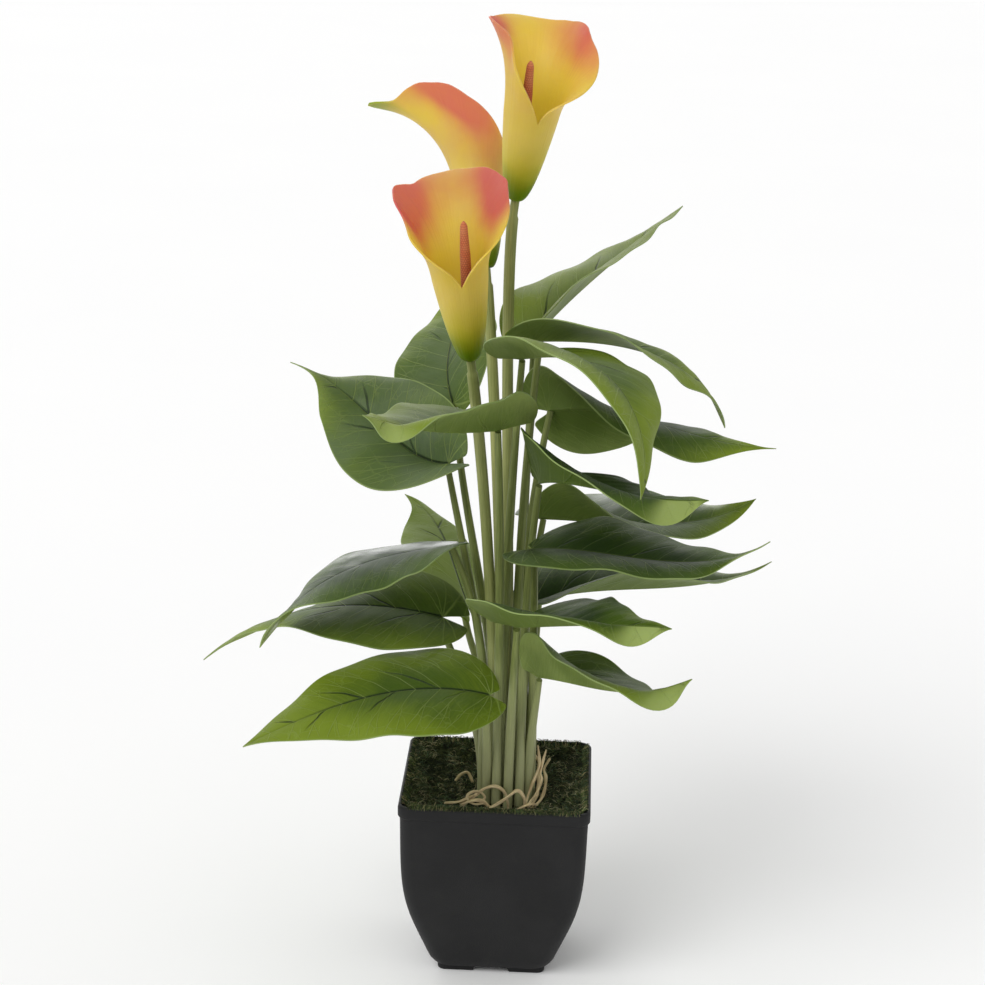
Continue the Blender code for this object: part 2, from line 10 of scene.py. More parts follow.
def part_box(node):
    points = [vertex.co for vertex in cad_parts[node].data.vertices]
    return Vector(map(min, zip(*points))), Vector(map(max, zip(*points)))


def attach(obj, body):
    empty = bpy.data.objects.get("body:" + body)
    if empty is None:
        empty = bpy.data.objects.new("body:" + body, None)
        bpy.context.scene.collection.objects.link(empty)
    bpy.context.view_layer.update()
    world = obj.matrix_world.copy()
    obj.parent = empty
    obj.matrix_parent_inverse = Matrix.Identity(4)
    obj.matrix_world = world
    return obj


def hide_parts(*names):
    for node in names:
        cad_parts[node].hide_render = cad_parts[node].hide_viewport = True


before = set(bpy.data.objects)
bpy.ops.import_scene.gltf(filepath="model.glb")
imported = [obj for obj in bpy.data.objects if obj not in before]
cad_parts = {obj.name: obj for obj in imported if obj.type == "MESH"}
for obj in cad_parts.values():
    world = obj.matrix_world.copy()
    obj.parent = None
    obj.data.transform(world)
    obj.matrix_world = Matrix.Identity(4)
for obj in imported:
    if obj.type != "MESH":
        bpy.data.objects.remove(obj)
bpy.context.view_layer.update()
scene = bpy.context.scene
scene.view_settings.view_transform = "Standard"
random.seed(11)

# Places are millimetres from under the middle of the pot, angles are degrees
potLow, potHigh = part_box("pot")
potMiddle = Vector(((potLow[0] + potHigh[0]) / 2, (potLow[1] + potHigh[1]) / 2, 0.0))
mm = 0.001
gap = 0.35
up = Vector((0.0, 0.0, 1.0))


def addNode(tree, kind, values=None, **settings):
    node = tree.nodes.new(kind)
    for key, value in settings.items():
        setattr(node, key, value)
    for key, value in (values or {}).items():
        if isinstance(value, bpy.types.NodeSocket):
            tree.links.new(value, node.inputs[key])
        else:
            node.inputs[key].default_value = value
    return node


# These work in the node tree of the socket that they read
def maths(operation, first, second=0.0):
    tree = (first if isinstance(first, bpy.types.NodeSocket) else second).id_data
    return addNode(tree, "ShaderNodeMath", {0: first, 1: second}, operation=operation).outputs[0]


def chain(operation, first, *others):
    for other in others:
        first = maths(operation, first, other)
    return first


def times(*values):
    return chain("MULTIPLY", *values)


def plus(*values):
    return chain("ADD", *values)


def minus(first, second):
    return maths("SUBTRACT", first, second)


def strongest(*values):
    return chain("MAXIMUM", *values)


def softStep(value, low, high, start=0.0, end=1.0):
    values = {"Value": value, "From Min": low, "From Max": high, "To Min": start, "To Max": end}
    node = addNode(value.id_data, "ShaderNodeMapRange", values, interpolation_type="SMOOTHSTEP")
    return node.outputs[0]


def mixColour(share, first, second):
    values = {0: share, 6: first, 7: second}
    return addNode(share.id_data, "ShaderNodeMix", values, data_type="RGBA").outputs[2]


def cloud(vector, scale, detail=2.0):
    values = {"Vector": vector, "Scale": scale, "Detail": detail}
    return addNode(vector.id_data, "ShaderNodeTexNoise", values).outputs[0]


def partsOf(vector):
    return addNode(vector.id_data, "ShaderNodeSeparateXYZ", {0: vector}).outputs


def joined(x, y, z=0.0):
    return addNode(x.id_data, "ShaderNodeCombineXYZ", {0: x, 1: y, 2: z}).outputs[0]


# These start from the surface itself
def objectSpot(tree):
    return tree.nodes.new("ShaderNodeTexCoord").outputs["Object"]


def mapSpot(tree):
    return tree.nodes.new("ShaderNodeUVMap").outputs[0]


def mark(tree, name):
    return addNode(tree, "ShaderNodeAttribute", attribute_name=name).outputs["Fac"]


def shaderGroup(name, inputs, outputs):
    group = bpy.data.node_groups.new(name, "ShaderNodeTree")
    for label, kind, value in inputs:
        socket = group.interface.new_socket(label, in_out="INPUT", socket_type="NodeSocket" + kind)
        socket.default_value = value
    for label, kind in outputs:
        group.interface.new_socket(label, in_out="OUTPUT", socket_type="NodeSocket" + kind)
    return group, group.nodes.new("NodeGroupInput").outputs, group.nodes.new("NodeGroupOutput")


def useGroup(tree, group, values):
    return addNode(tree, "ShaderNodeGroup", values, node_tree=group).outputs


# Fine grain and uneven gloss of moulded plastic
mouldedSkin, given, result = shaderGroup(
    "mouldedSkin",
    [("Grain", "Float", 1500.0), ("Roughness", "Float", 0.5), ("Spread", "Float", 0.1)],
    [("Roughness", "Float"), ("Height", "Float")],
)
spot = objectSpot(mouldedSkin)
fineGrain = cloud(spot, given["Grain"], 3.0)
broadGrain = cloud(spot, times(given["Grain"], 0.06))
sway = times(minus(plus(fineGrain, broadGrain), 1.0), given["Spread"])
mouldedSkin.links.new(plus(given["Roughness"], sway), result.inputs["Roughness"])
mouldedSkin.links.new(fineGrain, result.inputs["Height"])

# Dye that took unevenly
dyeMottle, given, result = shaderGroup(
    "dyeMottle",
    [("Color", "Color", (1, 1, 1, 1)), ("Patch", "Color", (1, 1, 1, 1)), ("Scale", "Float", 60.0),
     ("Amount", "Float", 0.5)],
    [("Color", "Color")],
)
patchy = softStep(cloud(objectSpot(dyeMottle), given["Scale"], 3.0), 0.38, 0.68)
dyed = mixColour(times(patchy, given["Amount"]), given["Color"], given["Patch"])
dyeMottle.links.new(dyed, result.inputs["Color"])


def mottled(tree, colour, patch, scale, amount):
    values = {"Color": colour, "Patch": patch, "Scale": scale, "Amount": amount}
    return useGroup(tree, dyeMottle, values)[0]


# Fibres and draw lines along a rod: its map runs along it in U and round it in V
lengthFibres, given, result = shaderGroup(
    "lengthFibres",
    [("Lines", "Float", 5.0), ("Stretch", "Float", 3.0)],
    [("Streak", "Float"), ("Height", "Float")],
)
rodParts = partsOf(mapSpot(lengthFibres))
turn = times(rodParts[1], math.tau)
streaks = cloud(joined(
    times(rodParts[0], given["Stretch"]), times(maths("COSINE", turn), given["Lines"]),
    times(maths("SINE", turn), given["Lines"]),
), 1.0, 4.0)
lengthFibres.links.new(softStep(streaks, 0.3, 0.7), result.inputs["Streak"])
lengthFibres.links.new(streaks, result.inputs["Height"])

# Veins, creases and pale margin of a blade: its map is the blade laid flat, in tenths of a metre
veinStyle = {
    "spacing": 0.135, "lean": 0.62, "bow": 0.7, "line": 0.005, "fork": 0.4, "forkSpread": 0.15, "fan": 0.36,
    "wander": 0.035, "netScale": 11.5, "netWaver": 0.05, "midrib": 0.0045,
    "creaseStep": 0.40, "creaseLean": 1.35, "creaseWidth": 0.014, "ribCrease": 0.013,
}
leafVeins, given, result = shaderGroup(
    "leafVeins",
    [("Wander", "Float", 0.03)],
    [("Vein", "Float"), ("CreaseShade", "Float"), ("Edge", "Float"), ("Streak", "Float"), ("Out", "Float"),
     ("Along", "Float"), ("Height", "Float")],
)
spot, flatSpot = objectSpot(leafVeins), mapSpot(leafVeins)
flat = partsOf(flatSpot)
out, forth = mark(leafVeins, "out"), mark(leafVeins, "along")
side = minus(flat[1], 0.5)
across = maths("ABSOLUTE", side)
wander = times(minus(cloud(spot, 55.0, 1.0), 0.5), given["Wander"])
leaning = plus(times(across, veinStyle["lean"]), times(across, across, veinStyle["bow"]))
start = plus(minus(flat[0], leaning), wander)
radius = maths("SQRT", plus(times(flat[0], flat[0]), times(side, side)))
ahead = maths("GREATER_THAN", start, 0.0)


def veinLines(place, step, width, shift=0.0, spread=1.0):
    # lines every step, each as wide as twice the width
    turns = maths("FRACT", plus(maths("DIVIDE", place, step), 0.5 + shift))
    away = times(maths("ABSOLUTE", minus(turns, 0.5)), step, spread)
    return softStep(away, width * 0.2, width, 1.0, 0.0)


# the veins proper, their forks, the fan round the stalk, and the fine net between them
sideVeins = times(veinLines(start, veinStyle["spacing"], veinStyle["line"]), ahead)
forkOut = maths("MAXIMUM", minus(out, veinStyle["fork"]), 0.0)
forked = plus(start, times(forkOut, veinStyle["forkSpread"]))
forks = veinLines(forked, veinStyle["spacing"], veinStyle["line"] * 0.8)
forks = times(forks, softStep(out, veinStyle["fork"], veinStyle["fork"] + 0.05), ahead, 0.8)
fanPlace = maths("DIVIDE", start, plus(radius, 0.001))
fan = veinLines(fanPlace, veinStyle["fan"], veinStyle["line"], spread=radius)
fan = times(fan, minus(1.0, ahead))
waver = addNode(leafVeins, "ShaderNodeTexNoise", {"Vector": spot, "Scale": 120.0, "Detail": 1.0})
values = {0: waver.outputs["Color"], "Scale": veinStyle["netWaver"]}
waver = addNode(leafVeins, "ShaderNodeVectorMath", values, operation="SCALE")
bent = flatSpot
for push in (spot, waver.outputs[0]):
    bent = addNode(leafVeins, "ShaderNodeVectorMath", {0: bent, 1: push}, operation="ADD").outputs[0]
values = {"Vector": bent, "Scale": veinStyle["netScale"]}
cells = addNode(leafVeins, "ShaderNodeTexVoronoi", values, feature="DISTANCE_TO_EDGE").outputs["Distance"]
net = times(softStep(cells, 0.008, 0.04, 1.0, 0.0), softStep(out, 0.2, 0.65, 0.08, 0.42))
fade = times(softStep(out, 0.86, 0.98, 1.0, 0.0), softStep(cloud(spot, 38.0, 1.0), 0.3, 0.55, 0.35, 1.0))
midrib = softStep(maths("ABSOLUTE", minus(side, 0.004)), 0.001, veinStyle["midrib"], 0.8, 0.0)
veins = strongest(times(strongest(sideVeins, forks, fan, net), fade), times(midrib, ahead))

# creases beside the midrib and in places beside the veins, darkened in the colour as painted shade and
# pressed in as relief
creaseStart = plus(minus(flat[0], times(across, veinStyle["creaseLean"])), times(wander, 2.0))
creaseStart = plus(creaseStart, times(maths("GREATER_THAN", side, 0.0), 0.17))
sideCrease = times(
    veinLines(creaseStart, veinStyle["creaseStep"], veinStyle["creaseWidth"], 0.3),
    softStep(out, 0.15, 0.72, 1.0, 0.0), softStep(cloud(spot, 30.0, 1.0), 0.36, 0.58),
    softStep(flat[0], 0.0, 0.1),
)
ribCrease = times(
    softStep(maths("ABSOLUTE", plus(side, 0.003)), 0.003, veinStyle["ribCrease"], 1.0, 0.0),
    softStep(forth, 0.45, 0.9, 1.0, 0.1), softStep(flat[0], -0.04, 0.02),
)
creases = strongest(sideCrease, ribCrease)
fineLines = cloud(joined(times(start, 45.0), times(side, 6.0)), 1.6, 3.0)
for label, value in (
    ("Vein", veins), ("CreaseShade", creases), ("Edge", softStep(out, 0.975, 0.99)), ("Streak", fineLines),
    ("Out", out), ("Along", forth),
    ("Height", plus(times(veins, 0.35), times(creases, -1.0), times(fineLines, 0.2))),
):
    leafVeins.links.new(value, result.inputs[label])


def newMaterial(name, **constants):
    material = bpy.data.materials.new(name)
    material.use_nodes = True
    tree = material.node_tree
    shader = tree.nodes["Principled BSDF"]
    for label, value in constants.items():
        shader.inputs[label.replace("_", " ")].default_value = value
    return material, tree, shader


def finishSkin(tree, shader, colour, grain, roughness, spread, height=None, depth=0.0002, skinShare=0.3):
    # colour, uneven gloss and one bump from the grain and the piece's own relief
    skin = useGroup(tree, mouldedSkin, {"Grain": grain, "Roughness": roughness, "Spread": spread})
    tree.links.new(colour, shader.inputs["Base Color"])
    tree.links.new(skin["Roughness"], shader.inputs["Roughness"])
    relief = times(skin["Height"], skinShare)
    if height is not None:
        relief = plus(relief, height)
    raised = addNode(tree, "ShaderNodeBump", {"Height": relief, "Distance": depth, "Strength": 1.0})
    tree.links.new(raised.outputs[0], shader.inputs["Normal"])


def newObject(name, data):
    made = bpy.data.objects.new(name, data)
    scene.collection.objects.link(made)
    return made


def settledMesh(piece):
    # the piece's mesh with its wall or its bevel applied
    return bpy.data.meshes.new_from_object(piece.evaluated_get(bpy.context.evaluated_depsgraph_get()))


def gridSheet(rows, columns, place, mapPlace, marks=None):
    # a grid laid out by place(u, v), with the map and the marks that its finish reads
    bm = bmesh.new()
    uvLayer = bm.loops.layers.uv.new("map")
    layers = {label: bm.verts.layers.float.new(label) for label in marks or {}}
    bmesh.ops.create_grid(bm, x_segments=rows, y_segments=columns, size=1.0)
    for face in bm.faces:
        for loop in face.loops:
            loop[uvLayer].uv = mapPlace((loop.vert.co.x + 1) / 2, (loop.vert.co.y + 1) / 2)
    for vert in bm.verts:
        u, v = (vert.co.x + 1) / 2, (vert.co.y + 1) / 2
        for label, layer in layers.items():
            vert[layer] = marks[label](u, v)
        vert.co = place(u, v)
    return bm


def roundRod(path, radiusAt, sides, section=lambda share, angle: 1.0):
    # a closed round body along a path, its frame carried on from point to point
    frames = []
    side = Vector((1.0, 0.0, 0.0))
    lengths = [0.0]
    for number, spot in enumerate(path):
        before, after = path[max(0, number - 1)], path[min(len(path) - 1, number + 1)]
        run = (after - before).normalized()
        side = (side - run * side.dot(run)).normalized()
        frames.append((spot, side.copy(), run.cross(side)))
        if number:
            lengths.append(lengths[-1] + (spot - path[number - 1]).length)
    last = len(path) - 1

    def place(u, v):
        spot, first, second = frames[round(u * last)]
        angle = math.tau * v
        share = lengths[round(u * last)] / lengths[-1]
        radius = radiusAt(share) * section(share, angle)
        return spot + (first * math.cos(angle) + second * math.sin(angle)) * radius

    bm = gridSheet(last, sides, place, lambda u, v: (lengths[round(u * last)] / 100, v))
    bmesh.ops.remove_doubles(bm, verts=bm.verts, dist=0.004)
    bmesh.ops.holes_fill(bm, edges=[e for e in bm.edges if e.is_boundary], sides=0)
    bmesh.ops.recalc_face_normals(bm, faces=bm.faces)
    return bm


def addSheet(bm, other):
    # puts another bmesh into this one
    carried = bpy.data.meshes.new("carried")
    other.to_mesh(carried)
    other.free()
    bm.from_mesh(carried)
    bpy.data.meshes.remove(carried)


def finishPiece(name, bm, materials, replaced=None, sharp=50, wall=None):
    # millimetres to metres, the piece's place in its mesh, its wall, its body and its CAD node
    bmesh.ops.scale(bm, vec=(mm, mm, mm), verts=bm.verts)
    bmesh.ops.translate(bm, vec=potMiddle, verts=bm.verts)
    mesh = bpy.data.meshes.new(name)
    bm.to_mesh(mesh)
    bm.free()
    for material in materials:
        mesh.materials.append(material)
    piece = newObject(name, mesh)
    if wall:
        solid = piece.modifiers.new("wall", "SOLIDIFY")
        solid.thickness = wall["thickness"] * mm
        solid.offset = wall["offset"]
        solid.material_offset = wall["inner"]
        solid.material_offset_rim = wall["rim"]
        thick = settledMesh(piece)
        piece.modifiers.clear()
        piece.data = thick
        bpy.data.meshes.remove(mesh)
    piece.data.shade_smooth()
    piece.data.set_sharp_from_angle(angle=math.radians(sharp))
    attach(piece, "root")
    if replaced:
        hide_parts(replaced)


def faceOutwards(bm, place, outwards):
    # joins doubled points and turns the faces so that the one nearest to place looks outwards
    bmesh.ops.remove_doubles(bm, verts=bm.verts, dist=0.01)
    bmesh.ops.recalc_face_normals(bm, faces=bm.faces)
    nearest = min(bm.faces, key=lambda face: (face.calc_center_median() - place).length)
    if nearest.normal.dot(outwards) < 0:
        bmesh.ops.reverse_faces(bm, faces=bm.faces)


def threeWay(values, u):
    # the smooth curve through a value at the stalk, one halfway and one at the tip
    first, middle, last = values
    return first * (1 - u) * (1 - 2 * u) + middle * 4 * u * (1 - u) + last * u * (2 * u - 1)


def along(heading, pitch):
    turn, rise = math.radians(heading), math.radians(pitch)
    return Vector((math.cos(turn) * math.cos(rise), math.sin(turn) * math.cos(rise), math.sin(rise)))


def eased(value, low, high):
    share = max(0.0, min(1.0, (value - low) / (high - low)))
    return share * share * (3 - 2 * share)


def bell(value, middle, width):
    return math.exp(-(((value - middle) / width) ** 2))


def rough(x, y, z):
    return noise.noise(Vector((x, y, z)))


# Camera and light
cameraSetup = {"place": (38.4, -1299.4, 663.0), "turn": 2.0, "down": 16.75, "roll": 1.5, "lens": 91.55}
turn, down, roll = (math.radians(cameraSetup[key]) for key in ("turn", "down", "roll"))
sight = Vector((-math.sin(turn) * math.cos(down), math.cos(turn) * math.cos(down), -math.sin(down)))
right = Vector((math.cos(turn), math.sin(turn), 0.0))
above = right.cross(sight)
tiltedRight = right * math.cos(roll) + above * math.sin(roll)
tiltedUp = above * math.cos(roll) - right * math.sin(roll)
cameraData = bpy.data.cameras.new("photoCamera")
cameraData.sensor_width = 36.0
cameraData.lens = cameraSetup["lens"]
cameraData.clip_end = 100.0
camera = newObject("photoCamera", cameraData)
stand = Matrix.Translation(Vector(cameraSetup["place"]) * mm + potMiddle)
camera.matrix_world = stand @ Matrix((tiltedRight, tiltedUp, -sight)).transposed().to_4x4()
scene.camera = camera

studio = {"ambient": 0.63, "backdrop": 1.0, "aim": 0.28, "floorHalf": 30.0}
lamps = [
    {"name": "keyLight", "place": (-800, -1000, 1500), "soft": 40, "power": 1.4},
    {"name": "backLight", "place": (-350, 1500, 950), "soft": 50, "power": 0.75},
]
for lamp in lamps:
    light = bpy.data.lights.new(lamp["name"], "SUN")
    light.angle = math.radians(lamp["soft"])
    light.energy = lamp["power"]
    holder = newObject(lamp["name"], light)
    holder.location = Vector(lamp["place"]) * mm
    towards = Vector((0, 0, studio["aim"])) - holder.location
    holder.rotation_euler = towards.to_track_quat("-Z", "Y").to_euler()
world = bpy.data.worlds.new("studio")
world.use_nodes = True
background = world.node_tree.nodes["Background"]
background.inputs["Color"].default_value = (1.0, 1.0, 1.0, 1.0)
seen = world.node_tree.nodes.new("ShaderNodeLightPath").outputs["Is Camera Ray"]
strength = softStep(seen, 0.0, 1.0, studio["ambient"], studio["backdrop"])
world.node_tree.links.new(strength, background.inputs["Strength"])
scene.world = world

floorSheet = bmesh.new()
bmesh.ops.create_grid(floorSheet, x_segments=1, y_segments=1, size=studio["floorHalf"])
floorMesh = bpy.data.meshes.new("floor")
floorSheet.to_mesh(floorMesh)
floorSheet.free()
floor = newObject("floor", floorMesh)
floorPaint, tree, shader = newMaterial("floorPaint", Roughness=0.9)
paper = mixColour(cloud(objectSpot(tree), 3.0), (0.94, 0.94, 0.94, 1), (0.96, 0.96, 0.955, 1))
tree.links.new(paper, shader.inputs["Base Color"])
floorMesh.materials.append(floorPaint)
print("camera, light and floor are set")


# Where each stem leaves the moss: one in the middle, six round it, thirteen round those
bundle = {"middle": (5.0, -9.0), "innerRing": 7.0, "outerRing": 13.7, "innerCount": 6, "outerCount": 13}


def holePlace(number):
    radius, angle, inner = 0.0, 0.0, bundle["innerCount"]
    if number > inner:
        radius, angle = bundle["outerRing"], math.tau * (number - inner - 1) / bundle["outerCount"]
    elif number:
        radius, angle = bundle["innerRing"], math.tau * (number - 1) / inner
    x, y = bundle["middle"]
    return Vector((x + radius * math.cos(angle), y + radius * math.sin(angle), 0.0))


# Pot: height above the table and half the outside's width there
pot = {
    "wall": 1.8, "floorTop": 5.6, "ringPoints": 96, "bellyRows": 30,
    "footHeight": 3.2, "footInner": 10.5, "footOuter": 30.0, "footDraft": 2.6, "footRound": 4.5,
    "belly": ((3.6, 32.0), (7.5, 34.6), (17.0, 38.2), (28.0, 42.2), (39.0, 45.8), (52.0, 48.8),
              (68.0, 50.5), (99.0, 51.4)),
    "band": ((99.4, 51.45), (99.8, 51.8), (100.2, 52.2), (100.8, 52.45), (103.0, 52.5), (105.3, 52.5),
             (106.2, 52.35), (106.8, 51.95), (107.0, 51.5), (106.9, 51.0), (106.5, 50.75)),
    # the last colour is a painted highlight for the rim's top face
    "grain": 2600.0, "black": (0.014, 0.014, 0.0145, 1), "rimHighlightGrey": (0.026, 0.026, 0.027, 1),
}


def bellyAt(z):
    # half the width at a height, on a smooth line through the belly's places
    places = pot["belly"]
    for number in range(len(places) - 1):
        (z1, h1), (z2, h2) = places[number], places[number + 1]
        if z1 <= z <= z2:
            z0, h0 = places[max(0, number - 1)]
            z3, h3 = places[min(len(places) - 1, number + 2)]
            t, span = (z - z1) / (z2 - z1), z2 - z1
            into = (h2 - h0) / (z2 - z0) * span
            onto = (h3 - h1) / (z3 - z1) * span
            return (h1 * (2 * t ** 3 - 3 * t ** 2 + 1) + into * (t ** 3 - 2 * t ** 2 + t)
                    + h2 * (3 * t ** 2 - 2 * t ** 3) + onto * (t ** 3 - t ** 2))
    return places[0][1]


def squareRing(bm, z, half, corner):
    # one ring of the pot: a circle pulled out to a square with round corners
    count = pot["ringPoints"]
    ring = bmesh.ops.create_circle(bm, segments=count, radius=1.0)["verts"]
    perCorner = count // 4
    for number, vert in enumerate(ring):
        quarter, step = divmod(number, perCorner)
        angle = math.pi / 2 * (quarter + step / (perCorner - 1))
        middle = Vector((half - corner, half - corner))
        middle.rotate(Matrix.Rotation(math.pi / 2 * quarter, 2))
        vert.co = (middle.x + corner * math.cos(angle), middle.y + corner * math.sin(angle), z)
    return list({edge for vert in ring for edge in vert.link_edges})


def cornerOf(half):
    return 7.0 + 0.10 * (52.0 - half)


low, high = pot["belly"][0][0], pot["belly"][-1][0]
bellyRows = [low + (high - low) * (step / pot["bellyRows"]) ** 1.2 for step in range(pot["bellyRows"] + 1)]
outline = [(3.0, 30.6), (3.15, 31.3), *((z, bellyAt(z)) for z in bellyRows), *pot["band"]]
outside = [(z, half, cornerOf(half)) for z, half in outline]
inside = [
    (z, bellyAt(z) - pot["wall"], cornerOf(bellyAt(z)) - 1.5)
    for z in reversed(bellyRows) if z > pot["floorTop"] + 1.0
]
inside.append((pot["floorTop"], bellyAt(pot["floorTop"]) - pot["wall"] - 1.0, 6.5))
potSheet = bmesh.new()
rings = [squareRing(potSheet, *section) for section in outside + inside]
for lower, upper in zip(rings, rings[1:]):
    bmesh.ops.bridge_loops(potSheet, edges=lower + upper)
for end in (rings[0], rings[-1]):
    bmesh.ops.contextual_create(potSheet, geom=end)
bmesh.ops.recalc_face_normals(potSheet, faces=potSheet.faces)
for quarter in range(4):
    foot = bmesh.new()
    near, far, tall = pot["footInner"], pot["footOuter"], pot["footHeight"] + 1.2
    made = bmesh.ops.create_cube(foot, size=1.0)["verts"]
    bmesh.ops.scale(foot, vec=(far - near, far - near, tall), verts=made)
    middle = (near + far) / 2
    bmesh.ops.translate(foot, vec=(middle, middle, tall / 2), verts=made)
    for vert in foot.verts:
        if vert.co.z > pot["footHeight"]:
            vert.co.x -= pot["footDraft"] if vert.co.x < middle else 0.0
            vert.co.y -= pot["footDraft"] if vert.co.y < middle else 0.0
    outer = [e for e in foot.edges if all(v.co.x > far - 0.1 and v.co.y > far - 0.1 for v in e.verts)]
    rounding = {"profile": 0.5, "affect": "EDGES", "material": -1}
    bmesh.ops.bevel(foot, geom=outer, offset=pot["footRound"], segments=8, **rounding)
    below = [e for e in foot.edges if all(v.co.z < 0.01 for v in e.verts)]
    bmesh.ops.bevel(foot, geom=below, offset=0.5, segments=3, **rounding)
    bmesh.ops.rotate(foot, matrix=Matrix.Rotation(math.pi / 2 * quarter, 3, "Z"), verts=foot.verts)
    addSheet(potSheet, foot)

potBlack, tree, shader = newMaterial("potBlack", Specular_IOR_Level=0.18)
spot = objectSpot(tree)
# painted highlight: the rim's top face is lighter grey in patches, where it faces the light
rimTop = softStep(partsOf(spot)[2], 0.1062, 0.107)
rimHighlight = times(rimTop, softStep(cloud(spot, 260.0, 3.0), 0.35, 0.7, 0.35, 1.0))
colour = mottled(tree, pot["black"], (0.018, 0.018, 0.0185, 1), 30.0, 0.8)
colour = mixColour(rimHighlight, colour, pot["rimHighlightGrey"])
finishSkin(tree, shader, colour, pot["grain"], 0.56, 0.12, depth=0.00025, skinShare=0.5)
finishPiece("potBody", potSheet, [potBlack], "pot", sharp=35)
print("pot is made")


# Casting: the hidden block stays as the CAD made it
castStone, tree, shader = newMaterial("castStone", Specular_IOR_Level=0.3)
colour = mottled(tree, (0.30, 0.29, 0.27, 1), (0.18, 0.17, 0.155, 1), 220.0, 0.8)
finishSkin(tree, shader, colour, 900.0, 0.92, 0.1, depth=0.0005, skinShare=1.0)
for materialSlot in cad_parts["casting"].material_slots:
    materialSlot.material = castStone


# Moss: an uneven mat with loose fibre on it and a fringe over the pot's rim
moss = {
    "level": 99.5, "relief": 1.6, "dip": 5.0, "dipReach": 24.0, "heap": 5.5, "heapFrom": 34.0, "heapTo": 47.0,
    "bottom": 88.35, "half": 49.0, "corner": 5.0, "cells": 120, "fine": 1.7, "fibres": 14000, "fringe": 4600,
}
overRim = {"inside": 48.6, "outside": 52.0, "top": 107.4, "highest": 109.0, "tufts": 0.35, "hangFrom": 52.6}


def mossHeight(x, y):
    coarse = rough(x * 0.055, y * 0.055, 3.7)
    relief = coarse + 0.5 * rough(x * 0.15, y * 0.15, 9.1)
    away = math.hypot(x - bundle["middle"][0], y - bundle["middle"][1])
    dip = moss["dip"] * bell(away, 0.0, moss["dipReach"])
    heap = moss["heap"] * eased(max(abs(x), abs(y)), moss["heapFrom"], moss["heapTo"])
    return moss["level"] + moss["relief"] * relief - dip + heap


def mossPlace(u, v):
    straight = moss["half"] - moss["corner"]
    x, y = (2 * u - 1) * moss["half"], (2 * v - 1) * moss["half"]
    over = Vector((abs(x) - straight, abs(y) - straight))
    if over.x > 0 and over.y > 0:
        over = over.normalized() * max(over.x, over.y)
        x, y = math.copysign(straight + over.x, x), math.copysign(straight + over.y, y)
    tufts = rough(x * 0.5, y * 0.5, 4.0) + 0.6 * rough(x * 1.3, y * 1.3, 7.0)
    return Vector((x, y, mossHeight(x, y) + moss["fine"] * tufts))


mossSheet = gridSheet(moss["cells"], moss["cells"], mossPlace, lambda u, v: (u, v))
walls = bmesh.ops.extrude_edge_only(mossSheet, edges=[e for e in mossSheet.edges if e.is_boundary])["geom"]
for vert in [g for g in walls if isinstance(g, bmesh.types.BMVert)]:
    vert.co.z = moss["bottom"]
bmesh.ops.contextual_create(mossSheet, geom=[e for e in mossSheet.edges if e.is_boundary])
bmesh.ops.recalc_face_normals(mossSheet, faces=mossSheet.faces)
mossMat, tree, shader = newMaterial("mossMat", Specular_IOR_Level=0.15)
colour = mottled(tree, (0.005, 0.008, 0.003, 1), (0.085, 0.100, 0.037, 1), 190.0, 1.0)
colour = mottled(tree, colour, (0.060, 0.042, 0.022, 1), 55.0, 0.6)
relief = cloud(objectSpot(tree), 500.0, 4.0)
finishSkin(tree, shader, colour, 1400.0, 0.95, 0.05, height=relief, depth=0.001, skinShare=0.5)
finishPiece("mossMat", mossSheet, [mossMat], "moss_mat", sharp=180)


def fibreTufts(name, count, makeStrand, material):
    # many fine tapering strands as one curve, which then becomes a mesh with one shade for each strand
    curve = bpy.data.curves.new(name, "CURVE")
    curve.dimensions = "3D"
    curve.bevel_depth = mm
    curve.bevel_resolution = 0
    for number in range(count):
        places, width = makeStrand()
        spline = curve.splines.new("POLY")
        spline.points.add(len(places) - 1)
        for step, (target, place) in enumerate(zip(spline.points, places)):
            target.co = (*(place * mm + potMiddle), 1.0)
            target.radius = width * (1 - 0.8 * step / (len(places) - 1))
    shades = []
    for spline in curve.splines:
        clump = noise.noise(Vector(spline.points[0].co[:3]) / mm * 0.3)
        shades.append(max(0.0, min(1.0, 0.42 + 1.1 * clump + random.uniform(-0.42, 0.48))))
    holder = newObject(name, curve)
    mesh = settledMesh(holder)
    bpy.data.objects.remove(holder)
    perStrand = len(mesh.vertices) // count
    shade = mesh.attributes.new("strand", "FLOAT", "POINT")
    for number, value in enumerate(shade.data):
        value.value = shades[min(count - 1, number // perStrand)]
    mesh.materials.clear()
    mesh.materials.append(material)
    mesh.shade_smooth()
    piece = newObject(name, mesh)
    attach(piece, "root")


def strandFrom(x, y, length, lift):
    # a strand that starts in the mat, turns as it goes and comes down again at its end
    heading = random.uniform(0, math.tau)
    bend = random.uniform(-1.7, 1.7)
    spot = Vector((x, y, mossHeight(x, y) - 0.6))
    places = [spot.copy()]
    for step in range(3):
        rise = lift * (1 - 0.7 * step)
        spot = spot + Vector((math.cos(heading), math.sin(heading), rise)).normalized() * length / 3
        places.append(spot.copy())
        heading += bend
    # inside the pot up to its top, and only just over the rim above that
    for place in places:
        place.z = min(place.z, overRim["highest"])
        half = overRim["inside"] if place.z < overRim["top"] else overRim["outside"]
        place.x = max(-half, min(half, place.x))
        place.y = max(-half, min(half, place.y))
    return places


def mossStrand():
    x, y = random.uniform(-48.0, 48.0), random.uniform(-48.0, 48.0)
    lift, width = random.uniform(0.0, 1.7), random.uniform(0.13, 0.27)
    return strandFrom(x, y, random.uniform(2.5, 7.0), lift), width


